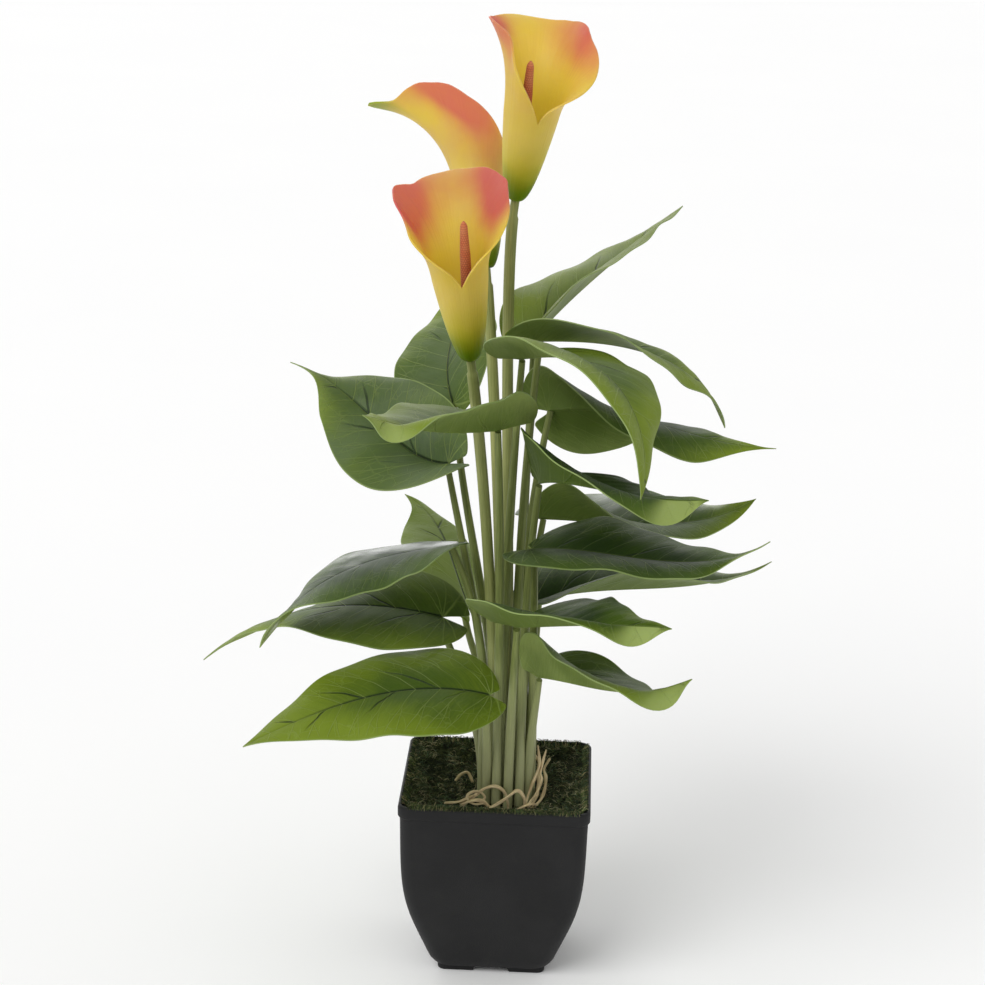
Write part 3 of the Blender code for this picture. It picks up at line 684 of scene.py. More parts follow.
def fringeStrand():
    # most of them at the front, which is edge 0
    edge, run = random.choice((0, 0, 0, 0, 0, 0, 1, 1, 2, 3)), random.uniform(-46.5, 46.5)
    out, width = random.uniform(45.5, 48.4), random.uniform(0.16, 0.3)
    turn = Matrix.Rotation(math.pi / 2 * edge, 2)
    start = turn @ Vector((run, -out))
    if random.random() < overRim["tufts"]:
        return strandFrom(start.x, start.y, random.uniform(3.0, 7.0), random.uniform(0.1, 1.4)), width
    # up inside the wall, over the rim and a little way down outside it
    over = random.uniform(49.8, 53.6) if edge == 0 else random.uniform(49.4, 51.6)
    drift, top = random.uniform(-4.0, 4.0), random.uniform(107.6, 108.6)
    end = top - 0.2 if over < overRim["hangFrom"] else random.uniform(106.2, 107.2)
    route = [(0.0, out, mossHeight(*start) - 0.8), (0.2, 48.5, 107.0), (0.5, 50.2, top), (1.0, over, end)]
    if over >= overRim["hangFrom"]:
        route.insert(3, (0.8, 52.4, 107.6))
    places = []
    for share, away, height in route:
        spot = turn @ Vector((max(-46.8, min(46.8, run + share * drift)), -away))
        places.append(Vector((spot.x, spot.y, height)))
    return places, width


def fibreMaterial(name, stops):
    material, tree, shader = newMaterial(name, Specular_IOR_Level=0.2)
    ramp = tree.nodes.new("ShaderNodeValToRGB")
    while len(ramp.color_ramp.elements) < len(stops):
        ramp.color_ramp.elements.new(0.5)
    for element, (place, colour) in zip(ramp.color_ramp.elements, stops):
        element.position = place
        element.color = (*colour, 1.0)
    tree.links.new(mark(tree, "strand"), ramp.inputs[0])
    colour = mottled(tree, ramp.outputs[0], (0.013, 0.017, 0.008, 1), 90.0, 0.5)
    finishSkin(tree, shader, colour, 2500.0, 0.85, 0.1)
    return material


mossFibre = fibreMaterial("mossFibre", [
    (0.0, (0.009, 0.014, 0.005)), (0.35, (0.042, 0.060, 0.022)), (0.66, (0.14, 0.178, 0.062)),
    (0.82, (0.090, 0.18, 0.115)), (0.92, (0.24, 0.19, 0.09)), (1.0, (0.50, 0.46, 0.28)),
])
fringeFibre = fibreMaterial("fringeFibre", [
    (0.0, (0.012, 0.020, 0.006)), (0.4, (0.052, 0.074, 0.024)), (0.65, (0.14, 0.175, 0.055)),
    (0.8, (0.055, 0.12, 0.075)), (0.9, (0.20, 0.14, 0.060)), (1.0, (0.42, 0.37, 0.20)),
])
for number in (1, 2):
    fibreTufts(f"mossFibres{number}", moss["fibres"] // 2, mossStrand, mossFibre)
fibreTufts("mossFringe", moss["fringe"], fringeStrand, fringeFibre)
print("moss is made")


# Stalks and stems
rodShape = {
    "bottom": 64.35, "leave": 99.5, "sides": 24, "stalk": 2.6, "stalkTip": 1.7, "stalkBend": 0.36,
    "stem": 2.9, "stemTop": 3.0, "stemBend": 0.14,
}


def rodPath(hole, end, lean, bendShare, rows=30):
    # straight up out of its hole, then an even bend to its leaf or bloom
    start = holePlace(hole)
    leave = start + up * rodShape["leave"]
    rise = end.z - leave.z
    first, second = leave + up * 0.42 * rise, end - lean * bendShare * rise
    bend = [
        leave * (1 - t) ** 3 + first * 3 * t * (1 - t) ** 2 + second * 3 * t * t * (1 - t) + end * t ** 3
        for t in (step / rows for step in range(rows + 1))
    ]
    return [start + up * rodShape["bottom"], start + up * 82.0, *bend]


def stalkMaterial(name, pale, dark, foot):
    # olive plastic sleeve with draw lines along it, greyer and darker towards the moss
    material, tree, shader = newMaterial(name, Specular_IOR_Level=0.25)
    height = partsOf(objectSpot(tree))[2]
    fibres = useGroup(tree, lengthFibres, {"Lines": 3.2, "Stretch": 5.0})
    colour = mixColour(fibres["Streak"], pale, dark)
    colour = mottled(tree, colour, dark, 26.0, 0.5)
    colour = mixColour(softStep(height, 0.098, 0.21, 0.8, 0.0), colour, foot)
    relief = times(fibres["Height"], 1.2)
    finishSkin(tree, shader, colour, 1700.0, 0.46, 0.14, height=relief, depth=0.0003)
    return material


stalkOlive = stalkMaterial(
    "stalkOlive", (0.27, 0.31, 0.095, 1), (0.15, 0.185, 0.05, 1), (0.42, 0.43, 0.24, 1)
)
stemOlive = stalkMaterial(
    "stemOlive", (0.36, 0.38, 0.135, 1), (0.24, 0.27, 0.085, 1), (0.43, 0.45, 0.24, 1)
)


# Leaves, 1 to 17. hole: where the stalk stands; attach: where it meets the blade; heading, pitch, fold and
# roll: at the stalk, halfway and at the tip; lean: the stalk's at its top; lobes and curl: left and right;
# then painted light and shade, from dark to light green by how brightly each blade is lit or backlit; the
# share of painted grey sheen; tail: how far the tip is drawn out
bladeShape = {
    "thickness": 0.6, "droop": 30.0, "wave": 1.6, "blunt": 1.6, "curlPlace": 0.88, "curlReach": 0.1,
    "ribSteps": 100, "rows": 96, "halfColumns": 22, "quilt": 0.12, "ripple": 0.7,
}
leaves = [
    dict(hole=2, attach=(10, 24, 349), heading=(27, 38, 43), pitch=(47, 31, 27), fold=(54, 26, 14),
         roll=(-3, 21, 20), lean=12, length=124, halfWidth=36, lobes=(15, 15), paintedLight=1.15, gloss=0.15,
         film=0.15),
    dict(hole=6, attach=(15, -36, 365), heading=(17, 15, 18), pitch=(-1, -21, -73), fold=(39, 16, 16),
         roll=(29, -2, -3), lean=14, length=125, halfWidth=35, lobes=(20, 29), paintedLight=0.95, gloss=0.03),
    dict(hole=5, attach=(7, -52, 359), heading=(-48, -53, -64), pitch=(16, -18, -116),
         fold=(29, 18, 18), roll=(6, 23, 38), lean=20, length=142, halfWidth=38, lobes=(3, 17),
         paintedLight=0.85, gloss=0.02, tail=0.2),
    dict(hole=1, attach=(22, 4, 317), heading=(-25, -19, 17), pitch=(18, -9, -3), fold=(19, 4, 7),
         roll=(79, 8, -21), lean=16, length=129, halfWidth=39, lobes=(18, 24), paintedLight=0.3, gloss=0.15,
         tail=0.85),
    dict(hole=18, attach=(19, -42, 290), heading=(-66, -41, -25), pitch=(22, 4, 13), fold=(62, 22, 7),
         roll=(34, 20, -11), lean=20, length=119, halfWidth=38, lobes=(21, 12), curl=(0, -70),
         paintedLight=-0.25, gloss=0.1),
    dict(hole=9, attach=(19, 15, 253), heading=(10, -5, 29), pitch=(-2, 4, 28), fold=(54, 26, 14),
         roll=(35, -3, -25), lean=18, length=122, halfWidth=37, lobes=(21, 9), paintedLight=0.3, gloss=0.7,
         tail=0.3),
    dict(hole=7, attach=(16, -52, 257), heading=(-14, -12, -3), pitch=(10, 0, 37), fold=(16, 21, -5),
         roll=(-5, -4, 4), lean=20, length=128, halfWidth=35, lobes=(5, 23), paintedLight=0.1, gloss=0.05,
         tail=0.65),
    dict(hole=8, attach=(18, 15, 205), heading=(12, 15, 19), pitch=(15, 0, 27), fold=(31, 37, 4),
         roll=(-7, 10, -8), lean=20, length=139, halfWidth=35, lobes=(20, 4), paintedLight=0.25, gloss=0.45,
         tail=0.65),
    dict(hole=17, attach=(9, -59, 216), heading=(-70, -42, -17), pitch=(19, 16, 2), fold=(43, 31, 13),
         roll=(2, 8, -8), lean=25, length=115, halfWidth=38, lobes=(16, 36), curl=(0, -60), paintedLight=0.15,
         gloss=0.1),
    dict(hole=19, attach=(21, -37, 180), heading=(-44, -47, -22), pitch=(12, 12, 34), fold=(65, 26, 7),
         roll=(17, 26, -6), lean=22, length=114, halfWidth=37, lobes=(8, 14), curl=(0, -75), paintedLight=0.6,
         gloss=0.1),
    dict(hole=15, attach=(-4, -49, 173), heading=(185, 202, 204), pitch=(14, -9, -21),
         fold=(20, 11, 17), roll=(21, 12, 8), lean=20, length=138, halfWidth=39, lobes=(15, 8),
         paintedLight=0.85, gloss=0.05),
    dict(hole=13, attach=(-33, 5, 197), heading=(193, 181, 191), pitch=(17, -11, -43), fold=(27, 5, 9),
         roll=(33, -4, -41), lean=25, length=141, halfWidth=36, lobes=(23, 25), paintedLight=0.75, gloss=0.1,
         tail=0.7, film=0.06),
    dict(hole=14, attach=(-26, -16, 246), heading=(163, 206, 197), pitch=(-15, -19, -64),
         fold=(14, 7, 16), roll=(-14, -5, -49), lean=25, length=125, halfWidth=35, lobes=(16, 9),
         paintedLight=0.05, gloss=1.0),
    dict(hole=10, attach=(-21, 40, 192), heading=(116, 109, 140), pitch=(36, 17, 16), fold=(4, 0, 18),
         roll=(-42, -23, 9), lean=10, length=109, halfWidth=30, lobes=(20, 18), paintedLight=1.5, gloss=0.05,
         tail=0.3, film=0.12),
    dict(hole=12, attach=(-32, 20, 281), heading=(137, 143, 172), pitch=(-14, 28, 13),
         fold=(40, 24, -3), roll=(28, 38, -18), lean=15, length=125, halfWidth=36, lobes=(36, 19),
         paintedLight=0.4, gloss=0.3, tail=0.6, film=0.17),
    dict(hole=11, attach=(-32, 50, 307), heading=(111, 86, 106), pitch=(35, 17, 18), fold=(19, 21, 13),
         roll=(44, 26, -4), lean=10, length=117, halfWidth=34, lobes=(23, 13), paintedLight=0.55, gloss=0.15,
         film=0.1),
    dict(hole=16, attach=(-2, -52, 321), heading=(227, 235, 227), pitch=(6, 15, 24), fold=(44, 36, 13),
         roll=(-14, -13, 6), lean=18, length=109, halfWidth=37, lobes=(31, 14), curl=(-65, 0),
         paintedLight=0.6, gloss=0.1),
]
# the last colour below is a painted grey sheen, and the one before it painted shade for the creases
leafDye = {
    "deep": (0.018, 0.038, 0.006, 1), "mid": (0.055, 0.097, 0.008, 1), "light": (0.165, 0.228, 0.014, 1),
    "under": (0.122, 0.174, 0.034, 1), "underLight": (0.30, 0.37, 0.11, 1), "vein": (0.25, 0.32, 0.08, 1),
    "edge": (0.26, 0.34, 0.11, 1), "creaseShade": (0.009, 0.022, 0.005, 1), "film": (0.19, 0.235, 0.17, 1),
}


def leafRib(leaf):
    # places along the midrib, with the way it runs, its left side and its upper side
    place, rib = Vector(leaf["attach"]), []
    for step in range(bladeShape["ribSteps"] + 1):
        u = step / bladeShape["ribSteps"]
        heading = threeWay(leaf["heading"], u)
        run = along(heading, threeWay(leaf["pitch"], u))
        turn = Matrix.Rotation(-math.radians(threeWay(leaf["roll"], u)), 3, run)
        left = turn @ along(heading + 90, 0)
        rib.append((place.copy(), run, left, run.cross(left)))
        place += run * leaf["length"] / bladeShape["ribSteps"]
    return rib


def ribAt(rib, u):
    spot = min(u * bladeShape["ribSteps"], bladeShape["ribSteps"] - 1e-6)
    before, share = rib[int(spot)], spot - int(spot)
    after = rib[int(spot) + 1]
    return [a.lerp(b, share) for a, b in zip(before, after)]


def bladeFlat(leaf, u, v):
    # half the width there and how far that spot is swept back into a lobe
    out = abs(v)
    width = leaf["halfWidth"] * 2.752 * (u + 0.004) ** 0.5 * (1 - u) ** 1.15
    width *= 1 - leaf.get("tail", 0.0) * eased(u, 0.68, 0.94)
    blunt = bladeShape["blunt"] * max(0.0, out - 0.5) ** 2
    swept = leaf["lobes"][0 if v >= 0 else 1] * max(0.0, 1 - u / 0.4) ** 2 * (out ** 1.3 - blunt)
    return width, swept


def curlAt(leaf, u, v):
    # how far the edge turns up near the tip
    curl = leaf.get("curl", (0, 0))[0 if v >= 0 else 1]
    return curl * bell(u, bladeShape["curlPlace"], bladeShape["curlReach"])


def bladeMap(leaf, u, v):
    width, swept = bladeFlat(leaf, u, v)
    return ((leaf["length"] * u - swept) / 100, 0.5 + width * v / 100)


def bladePlace(leaf, rib, u, v):
    place, run, left, upper = ribAt(rib, u)
    side, out = (1, abs(v)) if v >= 0 else (-1, abs(v))
    width, swept = bladeFlat(leaf, u, v)
    fold = math.radians(threeWay(leaf["fold"], u) - out * bladeShape["droop"] / 2 + curlAt(leaf, u, v))
    phase = leaf["attach"][2] * 0.7 + (1.9 if side > 0 else 0.0)
    wave = bladeShape["wave"] * out ** 1.5 * math.sin(math.tau * 1.7 * u + phase)
    wave += bladeShape["ripple"] * out ** 3 * math.sin(math.tau * 4.1 * u + phase * 1.7)
    wave *= min(1.0, 4 * u, 4 * (1 - u))
    veinTurns = (leaf["length"] * u / 100 - veinStyle["lean"] * width * out / 100) / veinStyle["spacing"]
    quilt = -bladeShape["quilt"] * math.cos(math.tau * veinTurns) * math.sin(math.pi * out)
    quilt *= min(1.0, 8 * u, 5 * (1 - u))
    lift = width * out * math.sin(fold) + wave + quilt
    return place + left * side * width * out * math.cos(fold) + upper * lift - run * swept


def seatDepth(rimAxis, left, upper, fold):
    # how far under the midrib the stalk's end stops, so that its rim just clears the folded blade
    across = rimAxis.orthogonal().normalized()
    alongRim = rimAxis.cross(across)
    highest = 0.0
    for step in range(24):
        angle = math.tau * step / 24
        rim = (across * math.cos(angle) + alongRim * math.sin(angle)) * rodShape["stalkTip"]
        highest = max(highest, rim.dot(upper) - abs(rim.dot(left)) * math.tan(fold))
    return highest + bladeShape["thickness"] / 2 + gap / math.cos(fold)


def leafMaterial(name, under):
    # green that lightens to margin and tip, the tip's lightening being painted light through the thin blade;
    # printed veins, creases darkened as painted shade, a painted grey sheen and an uneven satin
    material, tree, shader = newMaterial(
        name, Specular_IOR_Level=0.2, Subsurface_Weight=0.2, Subsurface_Scale=0.002,
        Subsurface_Radius=(0.8, 1.0, 0.2), Coat_Roughness=0.24,
    )
    drawn = useGroup(tree, leafVeins, {"Wander": veinStyle["wander"]})
    spot = objectSpot(tree)
    # painted light and shade: each blade's lightness stands for how brightly it is lit, backlit blades
    # lightest
    paintedLight = mark(tree, "paintedLight")
    # lighter towards the margin, and towards the tip as painted light shining through the thin blade there
    zone = plus(
        times(softStep(drawn["Out"], 0.15, 1.0), 0.34), softStep(drawn["Along"], 0.5, 0.95, 0.0, 0.7),
        softStep(cloud(spot, 22.0), 0.3, 0.7, -0.12, 0.2), softStep(drawn["Streak"], 0.3, 0.7, -0.06, 0.06),
    )
    # painted sheen: a grey film mixed into the colour in patches stands for broad grey reflection off the
    # blade
    film = times(mark(tree, "film"), softStep(cloud(spot, 28.0, 3.0), 0.35, 0.65, 0.5, 1.4))
    if under:
        zone = plus(times(paintedLight, 0.5), zone)
        colour = mixColour(softStep(zone, 0.15, 1.05), leafDye["under"], leafDye["underLight"])
        colour = mixColour(softStep(paintedLight, -0.5, 0.1), leafDye["mid"], colour)
        colour = mixColour(film, colour, leafDye["film"])
        veinShare = times(drawn["Vein"], 0.25)
    else:
        zone = plus(times(paintedLight, 0.85), zone)
        colour = mixColour(softStep(zone, 0.02, 0.62), leafDye["deep"], leafDye["mid"])
        colour = mixColour(softStep(zone, 0.55, 1.35), colour, leafDye["light"])
        colour = mixColour(film, colour, leafDye["film"])
        # painted shade: the creases are darkened almost to black-green
        colour = mixColour(times(drawn["CreaseShade"], 0.85), colour, leafDye["creaseShade"])
        veinShare = times(drawn["Vein"], softStep(paintedLight, -0.1, 0.7, 0.2, 0.52))
    colour = mixColour(softStep(mark(tree, "pale"), 0.15, 0.8, 0.0, 0.85), colour, leafDye["underLight"])
    colour = mixColour(veinShare, colour, leafDye["vein"])
    colour = mixColour(times(drawn["Edge"], 0.6), colour, leafDye["edge"])
    glaze = times(mark(tree, "gloss"), softStep(cloud(spot, 34.0, 3.0), 0.4, 0.6, 0.2, 1.0))
    tree.links.new(glaze, shader.inputs["Coat Weight"])
    relief = times(drawn["Height"], -0.5 if under else 1.0)
    finishSkin(tree, shader, colour, 1600.0, 0.56, 0.16, height=relief, depth=0.0007, skinShare=0.12)
    return material


leafTop = leafMaterial("leafTop", False)
leafUnder = leafMaterial("leafUnder", True)
leafEdge, tree, shader = newMaterial("leafEdge", Specular_IOR_Level=0.4)
colour = mottled(tree, leafDye["edge"], (0.20, 0.28, 0.08, 1), 80.0, 0.7)
finishSkin(tree, shader, colour, 1600.0, 0.5, 0.1)


def makeLeaf(name, leaf):
    rib = leafRib(leaf)
    rows, half = bladeShape["rows"], bladeShape["halfColumns"]
    farSide = math.copysign(1.0, math.cos(math.radians(leaf["heading"][1])))
    blade = gridSheet(
        rows, 2 * half, lambda u, v: bladePlace(leaf, rib, u ** 1.4, 2 * v - 1),
        lambda u, v: bladeMap(leaf, u ** 1.4, 2 * v - 1),
        {"out": lambda u, v: abs(2 * v - 1), "along": lambda u, v: u ** 1.4,
         "paintedLight": lambda u, v: leaf["paintedLight"], "pale": lambda u, v: abs(curlAt(leaf, u ** 1.4, 2 * v - 1)) / 60,
         "film": lambda u, v: leaf.get("film", 0.0),
         "gloss": lambda u, v: leaf["gloss"] * max(0.12, min(1.0, 0.5 + farSide * (8 * v - 4)))},
    )
    middle, run, left, upper = ribAt(rib, 0.5)
    faceOutwards(blade, middle, upper)
    wall = {"thickness": bladeShape["thickness"], "offset": 0.0, "inner": 1, "rim": 2}
    finishPiece(name + "Blade", blade, [leafTop, leafUnder, leafEdge],
                name + "_blade", sharp=50, wall=wall)

    place, run, left, upper = rib[0]
    place = place + run * rodShape["stalkTip"]
    away = Vector((place.x, place.y, 0)) - holePlace(leaf["hole"])
    lean = along(math.degrees(math.atan2(away.y, away.x)), 90 - leaf["lean"])
    end = place - upper * seatDepth(lean, left, upper, math.radians(leaf["fold"][0])) + lean * 0.8
    path = rodPath(leaf["hole"], end, lean, rodShape["stalkBend"])
    thick, thin = rodShape["stalk"], rodShape["stalkTip"]
    stalk = roundRod(path, lambda share: thick + (thin - thick) * max(0.0, 2 * share - 1), rodShape["sides"])
    finishPiece(name + "Stalk", stalk, [stalkOlive], name + "_stalk")


for number, leaf in enumerate(leaves, 1):
    makeLeaf(f"leaf_{number:02d}", leaf)
print(len(leaves), "leaves are made")


# Blooms: the rolled spathe, its stem and the spadix inside it
spatheShape = {"rows": 60, "columns": 96, "steps": 120, "footRadius": 2.3, "wall": 0.9, "uneven": 0.8}
spadixShape = {"length": 76.0, "radius": 2.9, "rest": 1.8, "beadsAlong": 60, "beadsAround": 13, "bead": 0.22}
blooms = [
    dict(hole=0, foot=(1, 6, 432), facing=-74, lean=17, bank=4, flares=(88, 5, 32, 64, 170), tube=50,
         limb=50, tip=6, tipWidth=16, falls=(2.4, 3.0), throat=13.6, spadix=-4, beak=0.35,
         blush=((0.4, 1.0, 0.3, 0.24, 0.76), (-0.42, 1.0, 0.25, 0.15, 0.65),
                (-0.17, 0.92, 0.1, 0.14, 0.6), (0.1, 0.8, 0.6, 0.3, 0.14))),
    # in bloom_2 the wide wash at turn -0.68 is painted shade, its coral darkening the shaded side to orange
    dict(hole=3, foot=(-15, 38, 388), facing=-10, lean=-13, bank=26, flares=(63, 36, 22, 132, 23),
         tube=50, limb=62, tip=17, tipWidth=11, falls=(2.1, 2.0), throat=13.3, spadix=0, beak=1.0,
         blush=((-0.47, 1.0, 0.2, 0.16, 1.05), (-0.3, 1.0, 0.2, 0.12, 0.3),
                (-0.68, 0.85, 0.42, 0.42, 0.55), (0.5, 1.0, 0.3, 0.2, 0.9), (0.6, 0.75, 0.4, 0.4, 0.4))),
    dict(hole=4, foot=(-19, -36, 355), facing=-82, lean=14, bank=-9, flares=(93, 42, 58, 141, 157),
         tube=49, limb=56, tip=3, tipWidth=16, falls=(1.7, 1.8), throat=13.7, spadix=4, beak=0.1,
         blush=((0.33, 1.0, 0.2, 0.23, 1.1), (-0.32, 1.0, 0.21, 0.25, 1.2), (0.0, 0.85, 0.6, 0.38, 0.34)),
         nick=(-0.13, 2.8), ragged=1.6, flutter=4.0),
]
spatheDye = {
    "yellow": (0.65, 0.42, 0.062, 1), "cream": (0.61, 0.355, 0.11, 1), "coral": (0.50, 0.075, 0.085, 1),
    # the tube colour is a brightened yellow, painted light
    "tube": (0.92, 0.61, 0.105, 1), "lime": (0.60, 0.51, 0.024, 1), "green": (0.13, 0.22, 0.003, 1),
}


def bloomAxes(bloom):
    # the spathe's own X towards its mouth, Y to its left and Z up its tube
    stand = along(bloom["facing"], 90 - bloom["lean"])
    left = along(bloom["facing"] + 90, 0)
    forward = left.cross(stand)
    bank = Matrix.Rotation(-math.radians(bloom["bank"]), 3, forward)
    return Matrix((forward, bank @ left, bank @ stand)).transposed()


def spatheLine(bloom, turn):
    # one line up the spathe; turn runs from -1 to 1 round the funnel and is 0 at its back
    back, *flanks = bloom["flares"]
    half = 0 if turn < 0 else 1
    around = math.pi * turn
    tip = bell(180 * turn, 0.0, bloom["tipWidth"])
    total = bloom["tube"] + bloom["limb"] * (1 - abs(turn) ** bloom["falls"][half]) + bloom["tip"] * tip
    ragged = rough(turn * 5.5, bloom["tube"], bloom["lean"]) + 0.5 * math.sin(31 * turn)
    ragged += 0.9 * rough(turn * 17.0, bloom["lean"], bloom["bank"])
    uneven = 1.5 + bloom.get("ragged", 1.0) * ragged
    nickPlace, nickDepth = bloom.get("nick", (0.0, 0.0))
    total -= spatheShape["uneven"] * uneven * (1 - abs(turn))
    total -= nickDepth * bell(turn, nickPlace, 0.06)
    flare = threeWay((back, flanks[half], flanks[half + 2]), (1 - math.cos(around)) / 2)
    step = total / spatheShape["steps"]
    line, out, z = [], 0.0, 0.0
    for number in range(spatheShape["steps"] + 1):
        reach = step * number
        widening = (bloom["throat"] - spatheShape["footRadius"]) * math.sqrt(min(1.0, reach / bloom["tube"]))
        radius = spatheShape["footRadius"] + widening + out
        line.append(Vector((-radius * math.cos(around), radius * math.sin(around), z)))
        middle = reach + step / 2
        if middle < bloom["tube"]:
            z += step * 0.97
        else:
            angle = math.radians(4 + flare * (middle - bloom["tube"]) / (bloom["limb"] * 1.1))
            out += step * math.sin(angle)
            z += step * math.cos(angle)
    line[0] = Vector((0.0, 0.0, 0.0))
    return line


def spatheMaterial(name, inner):
    # golden plastic, blushed coral at the rim and fading to green at the foot; outside, the tube brightened
    # as painted light shining through it
    material, tree, shader = newMaterial(
        name, Specular_IOR_Level=0.18, Subsurface_Weight=0.6, Subsurface_Scale=0.01,
        Subsurface_Radius=(1.0, 0.75, 0.3),
    )
    spread = minus(cloud(objectSpot(tree), 60.0), 0.5)
    rise = plus(mark(tree, "rise"), times(spread, 7.0))
    blush = plus(mark(tree, "blush"), times(spread, 0.25))
    colour = mottled(tree, spatheDye["yellow"], spatheDye["cream"], 45.0, 0.35 if inner else 0.7)
    if not inner:
        # painted light: outside, the tube is a brighter yellow, standing for light shining through the thin
        # plastic
        colour = mixColour(softStep(rise, 34.0, 74.0, 0.8, 0.0), colour, spatheDye["tube"])
    for value, low, high, before, after, dye in (
        (rise, 12.0, 42.0, 0.9, 0.0, "lime"), (rise, 3.0, 27.0, 1.0, 0.0, "green"),
        (blush, 0.12, 0.9, 0.0, 1.0, "coral"), (mark(tree, "beak"), 0.25, 0.9, 0.0, 0.95, "green"),
    ):
        colour = mixColour(softStep(value, low, high, before, after), colour, spatheDye[dye])
    sheetMap = partsOf(mapSpot(tree))
    ribs = cloud(joined(times(sheetMap[1], 46.0), sheetMap[0]), 1.5)
    finishSkin(tree, shader, colour, 1300.0, 0.46, 0.12, height=ribs, depth=0.0003, skinShare=0.15)
    return material


spatheOuter = spatheMaterial("spatheOuter", False)
spatheInner = spatheMaterial("spatheInner", True)

spadixGrain, tree, shader = newMaterial("spadixGrain", Specular_IOR_Level=0.3, Sheen_Weight=0.15)
beadTop = mark(tree, "bead")
colour = mottled(tree, (0.64, 0.17, 0.07, 1), (0.74, 0.29, 0.12, 1), 90.0, 0.8)
# painted shade: darker brown in the grooves between the beads
colour = mixColour(softStep(beadTop, 0.0, 0.7, 0.55, 0.0), colour, (0.26, 0.045, 0.02, 1))
finishSkin(tree, shader, colour, 3200.0, 0.75, 0.15, depth=0.0003, skinShare=0.8)


def spadixWidth(share):
    widths = ((0.0, 0.5), (0.12, 0.7), (0.3, 0.85), (0.5, 1.0), (0.75, 0.95), (0.93, 0.7), (1.0, 0.12))
    for (low, first), (high, last) in zip(widths, widths[1:]):
        if low <= share <= high:
            t = (share - low) / (high - low)
            return first + (last - first) * (t if high < 1 else t ** 3)
    return widths[-1][1]


def beadHeight(share, angle):
    row = share * spadixShape["beadsAlong"]
    column = angle / math.tau * spadixShape["beadsAround"] + 0.5 * (int(row) % 2)
    return math.sqrt(abs(math.sin(math.pi * row) * math.sin(math.pi * column)))


def makeBloom(name, bloom):
    axes, foot = bloomAxes(bloom), Vector(bloom["foot"])
    lines = {}

    def place(u, v):
        turn = round(2 * v - 1, 5)
        if turn not in lines:
            lines[turn] = spatheLine(bloom, turn)
        spot = min(u ** 1.3 * spatheShape["steps"], spatheShape["steps"] - 1e-6)
        before, after = lines[turn][int(spot)], lines[turn][int(spot) + 1]
        run = (after - before).normalized()
        away = Vector((-math.cos(math.pi * turn), math.sin(math.pi * turn), 0.0))
        flutter = rough(turn * 4.5, bloom["bank"], bloom["limb"])
        flutter *= u ** 6 * (1 - abs(turn)) ** 0.5
        outward = (away * run.z - up * run.dot(away)) * bloom.get("flutter", 2.0) * flutter
        return foot + axes @ (before.lerp(after, spot - int(spot)) + outward)

    def blushAt(u, v):
        turn, share = 2 * v - 1, u ** 1.3
        return sum(
            strength * bell(turn, t, wide) * bell(share, s, deep)
            for t, s, wide, deep, strength in bloom["blush"]
        )

    def beakAt(u, v):
        return bloom["beak"] * bell(2 * v - 1, 0.0, 0.12) * max(0.0, (u ** 1.3 - 0.7) / 0.3)

    toBloom = axes.inverted()
    spathe = gridSheet(
        spatheShape["rows"], spatheShape["columns"], place, lambda u, v: (u ** 1.3, v),
        {"rise": lambda u, v: (toBloom @ (place(u, v) - foot)).z, "blush": blushAt, "beak": beakAt},
    )
    faceOutwards(spathe, foot, axes @ -up)
    wall = {"thickness": spatheShape["wall"], "offset": 1.0, "inner": 1, "rim": 0}
    finishPiece(name + "Spathe", spathe, [spatheOuter, spatheInner],
                name + "_spathe", sharp=60, wall=wall)

    top = foot - axes @ Vector((0, 0, spatheShape["wall"] + gap))
    first, last = rodShape["stem"], rodShape["stemTop"]

    def stemRadius(share):
        neck = max(0.0, (share - 0.972) / 0.004)
        return (first + (last - first) * share) * (1 - 0.22 * min(1.0, neck))

    path = rodPath(bloom["hole"], top, axes @ up, rodShape["stemBend"], rows=90)
    stem = roundRod(path, stemRadius, rodShape["sides"])
    finishPiece(name + "Stem", stem, [stemOlive], name + "_stem", sharp=40)

    base = foot + axes @ Vector((0, 0, spadixShape["rest"]))
    tilt = math.radians(bloom["spadix"])
    run = axes @ Vector((0, math.sin(tilt), math.cos(tilt))) * spadixShape["length"]
    rows = spadixShape["beadsAlong"] * 4
    spadix = roundRod(
        [base + run * (step / rows) for step in range(rows + 1)],
        lambda share: spadixShape["radius"] * spadixWidth(share),
        spadixShape["beadsAround"] * 4,
        section=lambda share, angle: 1 + spadixShape["bead"] * (beadHeight(share, angle) - 0.8) * 0.4,
    )
    uvLayer = spadix.loops.layers.uv["map"]
    bead = spadix.verts.layers.float.new("bead")
    for vert in spadix.verts:
        spotU, spotV = vert.link_loops[0][uvLayer].uv
        vert[bead] = beadHeight(spotU * 100 / spadixShape["length"], spotV * math.tau)
    finishPiece(name + "Spadix", spadix, [spadixGrain], name + "_spadix", sharp=180)


for number, bloom in enumerate(blooms, 1):
    makeBloom(f"bloom_{number}", bloom)
print(len(blooms), "blooms are made")


# Straw roots: two twisted strands each, as places with the height of each above the moss
straw = {"radius": 0.95, "twist": 0.22, "ply": 0.16, "sides": 16}
roots = [
    ((-28, -29, 0), (-20, -28, 1), (-13, -28, 5), (-6, -28, 12), (0, -28, 14), (5, -28, 11), (7, -28, 4),
     (7, -29, 0)),
    ((-19, -31, 0), (-13, -32, 5), (-7, -32, 6), (-3, -32, 3), (3, -31, 0)),
    ((-9, -35, 0), (-2, -35, 3), (6, -35, 9), (12, -34, 13), (16, -34, 8), (16, -32, 0)),
    ((18, -27, 0), (22, -20, 3), (23, -10, 6), (23, 0, 9), (23, 6, 13), (20, 9, 18)),
    ((21, -28, 0), (25, -18, 2), (27, -9, 5), (27, -1, 8), (26, 6, 9), (29, 9, 14)),
    ((-24, 6, 0), (-21, 8, 3), (-17, 9, 4), (-14, 6, 0)),
]
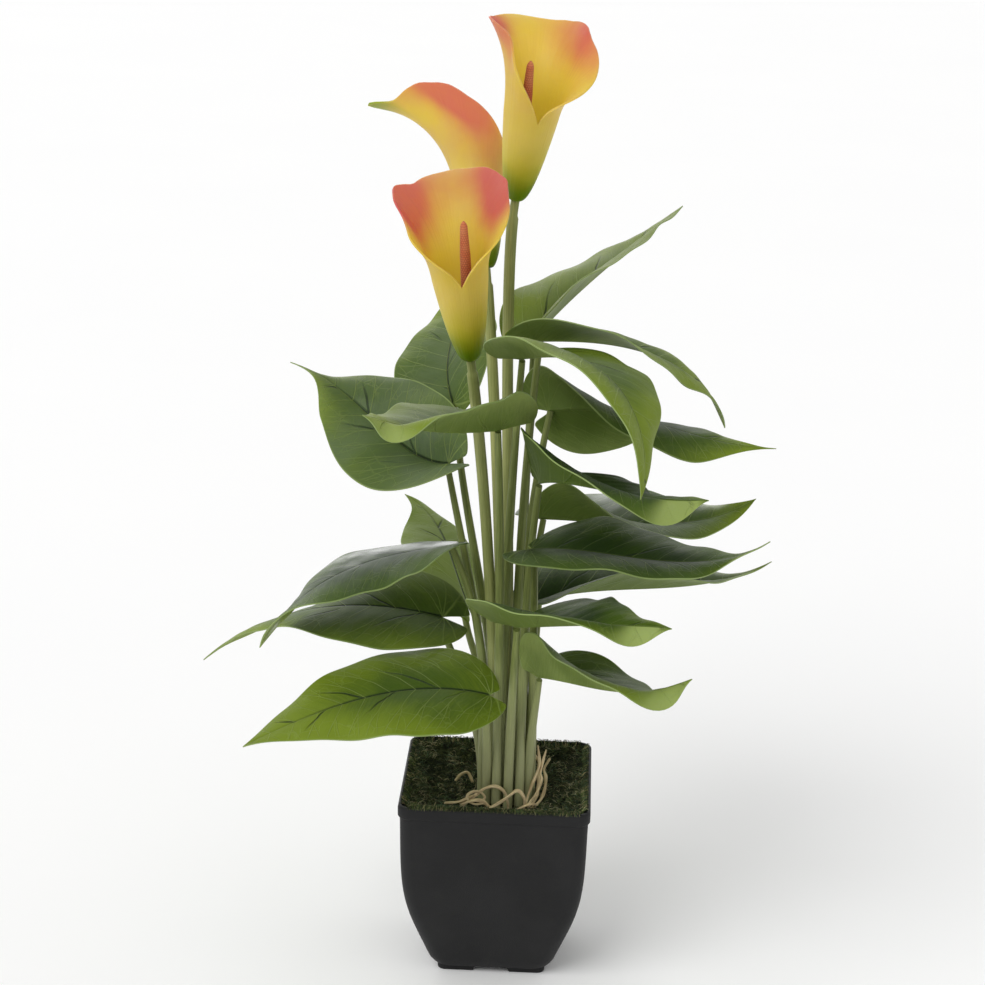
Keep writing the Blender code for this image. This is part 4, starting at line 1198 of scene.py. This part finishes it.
fineRoots = [
    (0.75, ((-19, -31, 1), (-15, -31.5, 4), (-11, -31.5, 5), (-7, -31, 6), (-5.8, -30, 8), (-8.5, -29.5, 9.8),
            (-12.5, -29.5, 9.2), (-15.4, -30.5, 7), (-14.4, -31.8, 4.4), (-10.6, -32.6, 3.4),
            (-6.4, -32, 4.8), (-4, -31, 3), (0, -31.5, 0.3))),
    (0.7, ((-27, -29.9, 0.2), (-21, -29.9, 1.4), (-16.5, -30, 4.6), (-12, -30.2, 7.6))),
    (0.85, ((16.5, -30, 1.5), (17.9, -24, 6.4), (19.7, -20, 11.7), (22.4, -16, 18),
            (23.4, -14, 23), (22.2, -14, 33))),
    (0.8, ((17.5, -29, 1.2), (22.5, -22, 7), (25, -18, 13.7), (24.2, -15, 16.6),
           (25.3, -13, 22.6), (26.9, -12, 28.8))),
    (0.8, ((10, -38, 0), (14, -38, 3), (19, -37, 5), (22, -34, 4), (20, -31, 1))),
]
rootStraw, tree, shader = newMaterial("rootStraw", Specular_IOR_Level=0.25)
fibres = useGroup(tree, lengthFibres, {"Lines": 2.6, "Stretch": 14.0})
colour = mixColour(fibres["Streak"], (0.95, 0.80, 0.50, 1), (0.68, 0.51, 0.28, 1))
colour = mottled(tree, colour, (0.48, 0.34, 0.17, 1), 130.0, 0.5)
finishSkin(tree, shader, colour, 2600.0, 0.82, 0.1, height=times(fibres["Height"], 1.5), depth=0.0006)


def smoothLine(ends, perSpan=10):
    ends = [ends[0] * 2 - ends[1], *ends, ends[-1] * 2 - ends[-2]]
    line = []
    for before, start, end, after in zip(ends, ends[1:], ends[2:], ends[3:]):
        for t in (step / perSpan for step in range(perSpan)):
            line.append(
                (start * 2 + (end - before) * t + (before * 2 - start * 5 + end * 4 - after) * t ** 2
                 + (start * 3 - before - end * 3 + after) * t ** 3) / 2
            )
    return line + [ends[-2]]


def strawStrand(places, radius):
    line = smoothLine([
        Vector((x, y, mossHeight(x, y) + straw["radius"] + gap + height)) for x, y, height in places
    ])
    turns = 2 * straw["twist"] * sum((b - a).length for a, b in zip(line, line[1:]))
    return roundRod(
        line, lambda share: radius * (1 - 0.35 * abs(2 * share - 1) ** 3), straw["sides"],
        section=lambda share, angle: 1 + straw["ply"] * (math.cos(2 * angle - turns * share) - 0.4),
    )


for number, places in enumerate(roots, 1):
    root = strawStrand(places, straw["radius"])
    finishPiece(f"root{number}", root, [rootStraw], f"root_{number}", sharp=180)

# Finer strands and the knot that the CAD leaves out
for number, (radius, places) in enumerate(fineRoots, 1):
    fine = strawStrand(places, radius)
    finishPiece(f"fineRoot{number}", fine, [rootStraw], sharp=180)
print(len(roots), "roots are made")
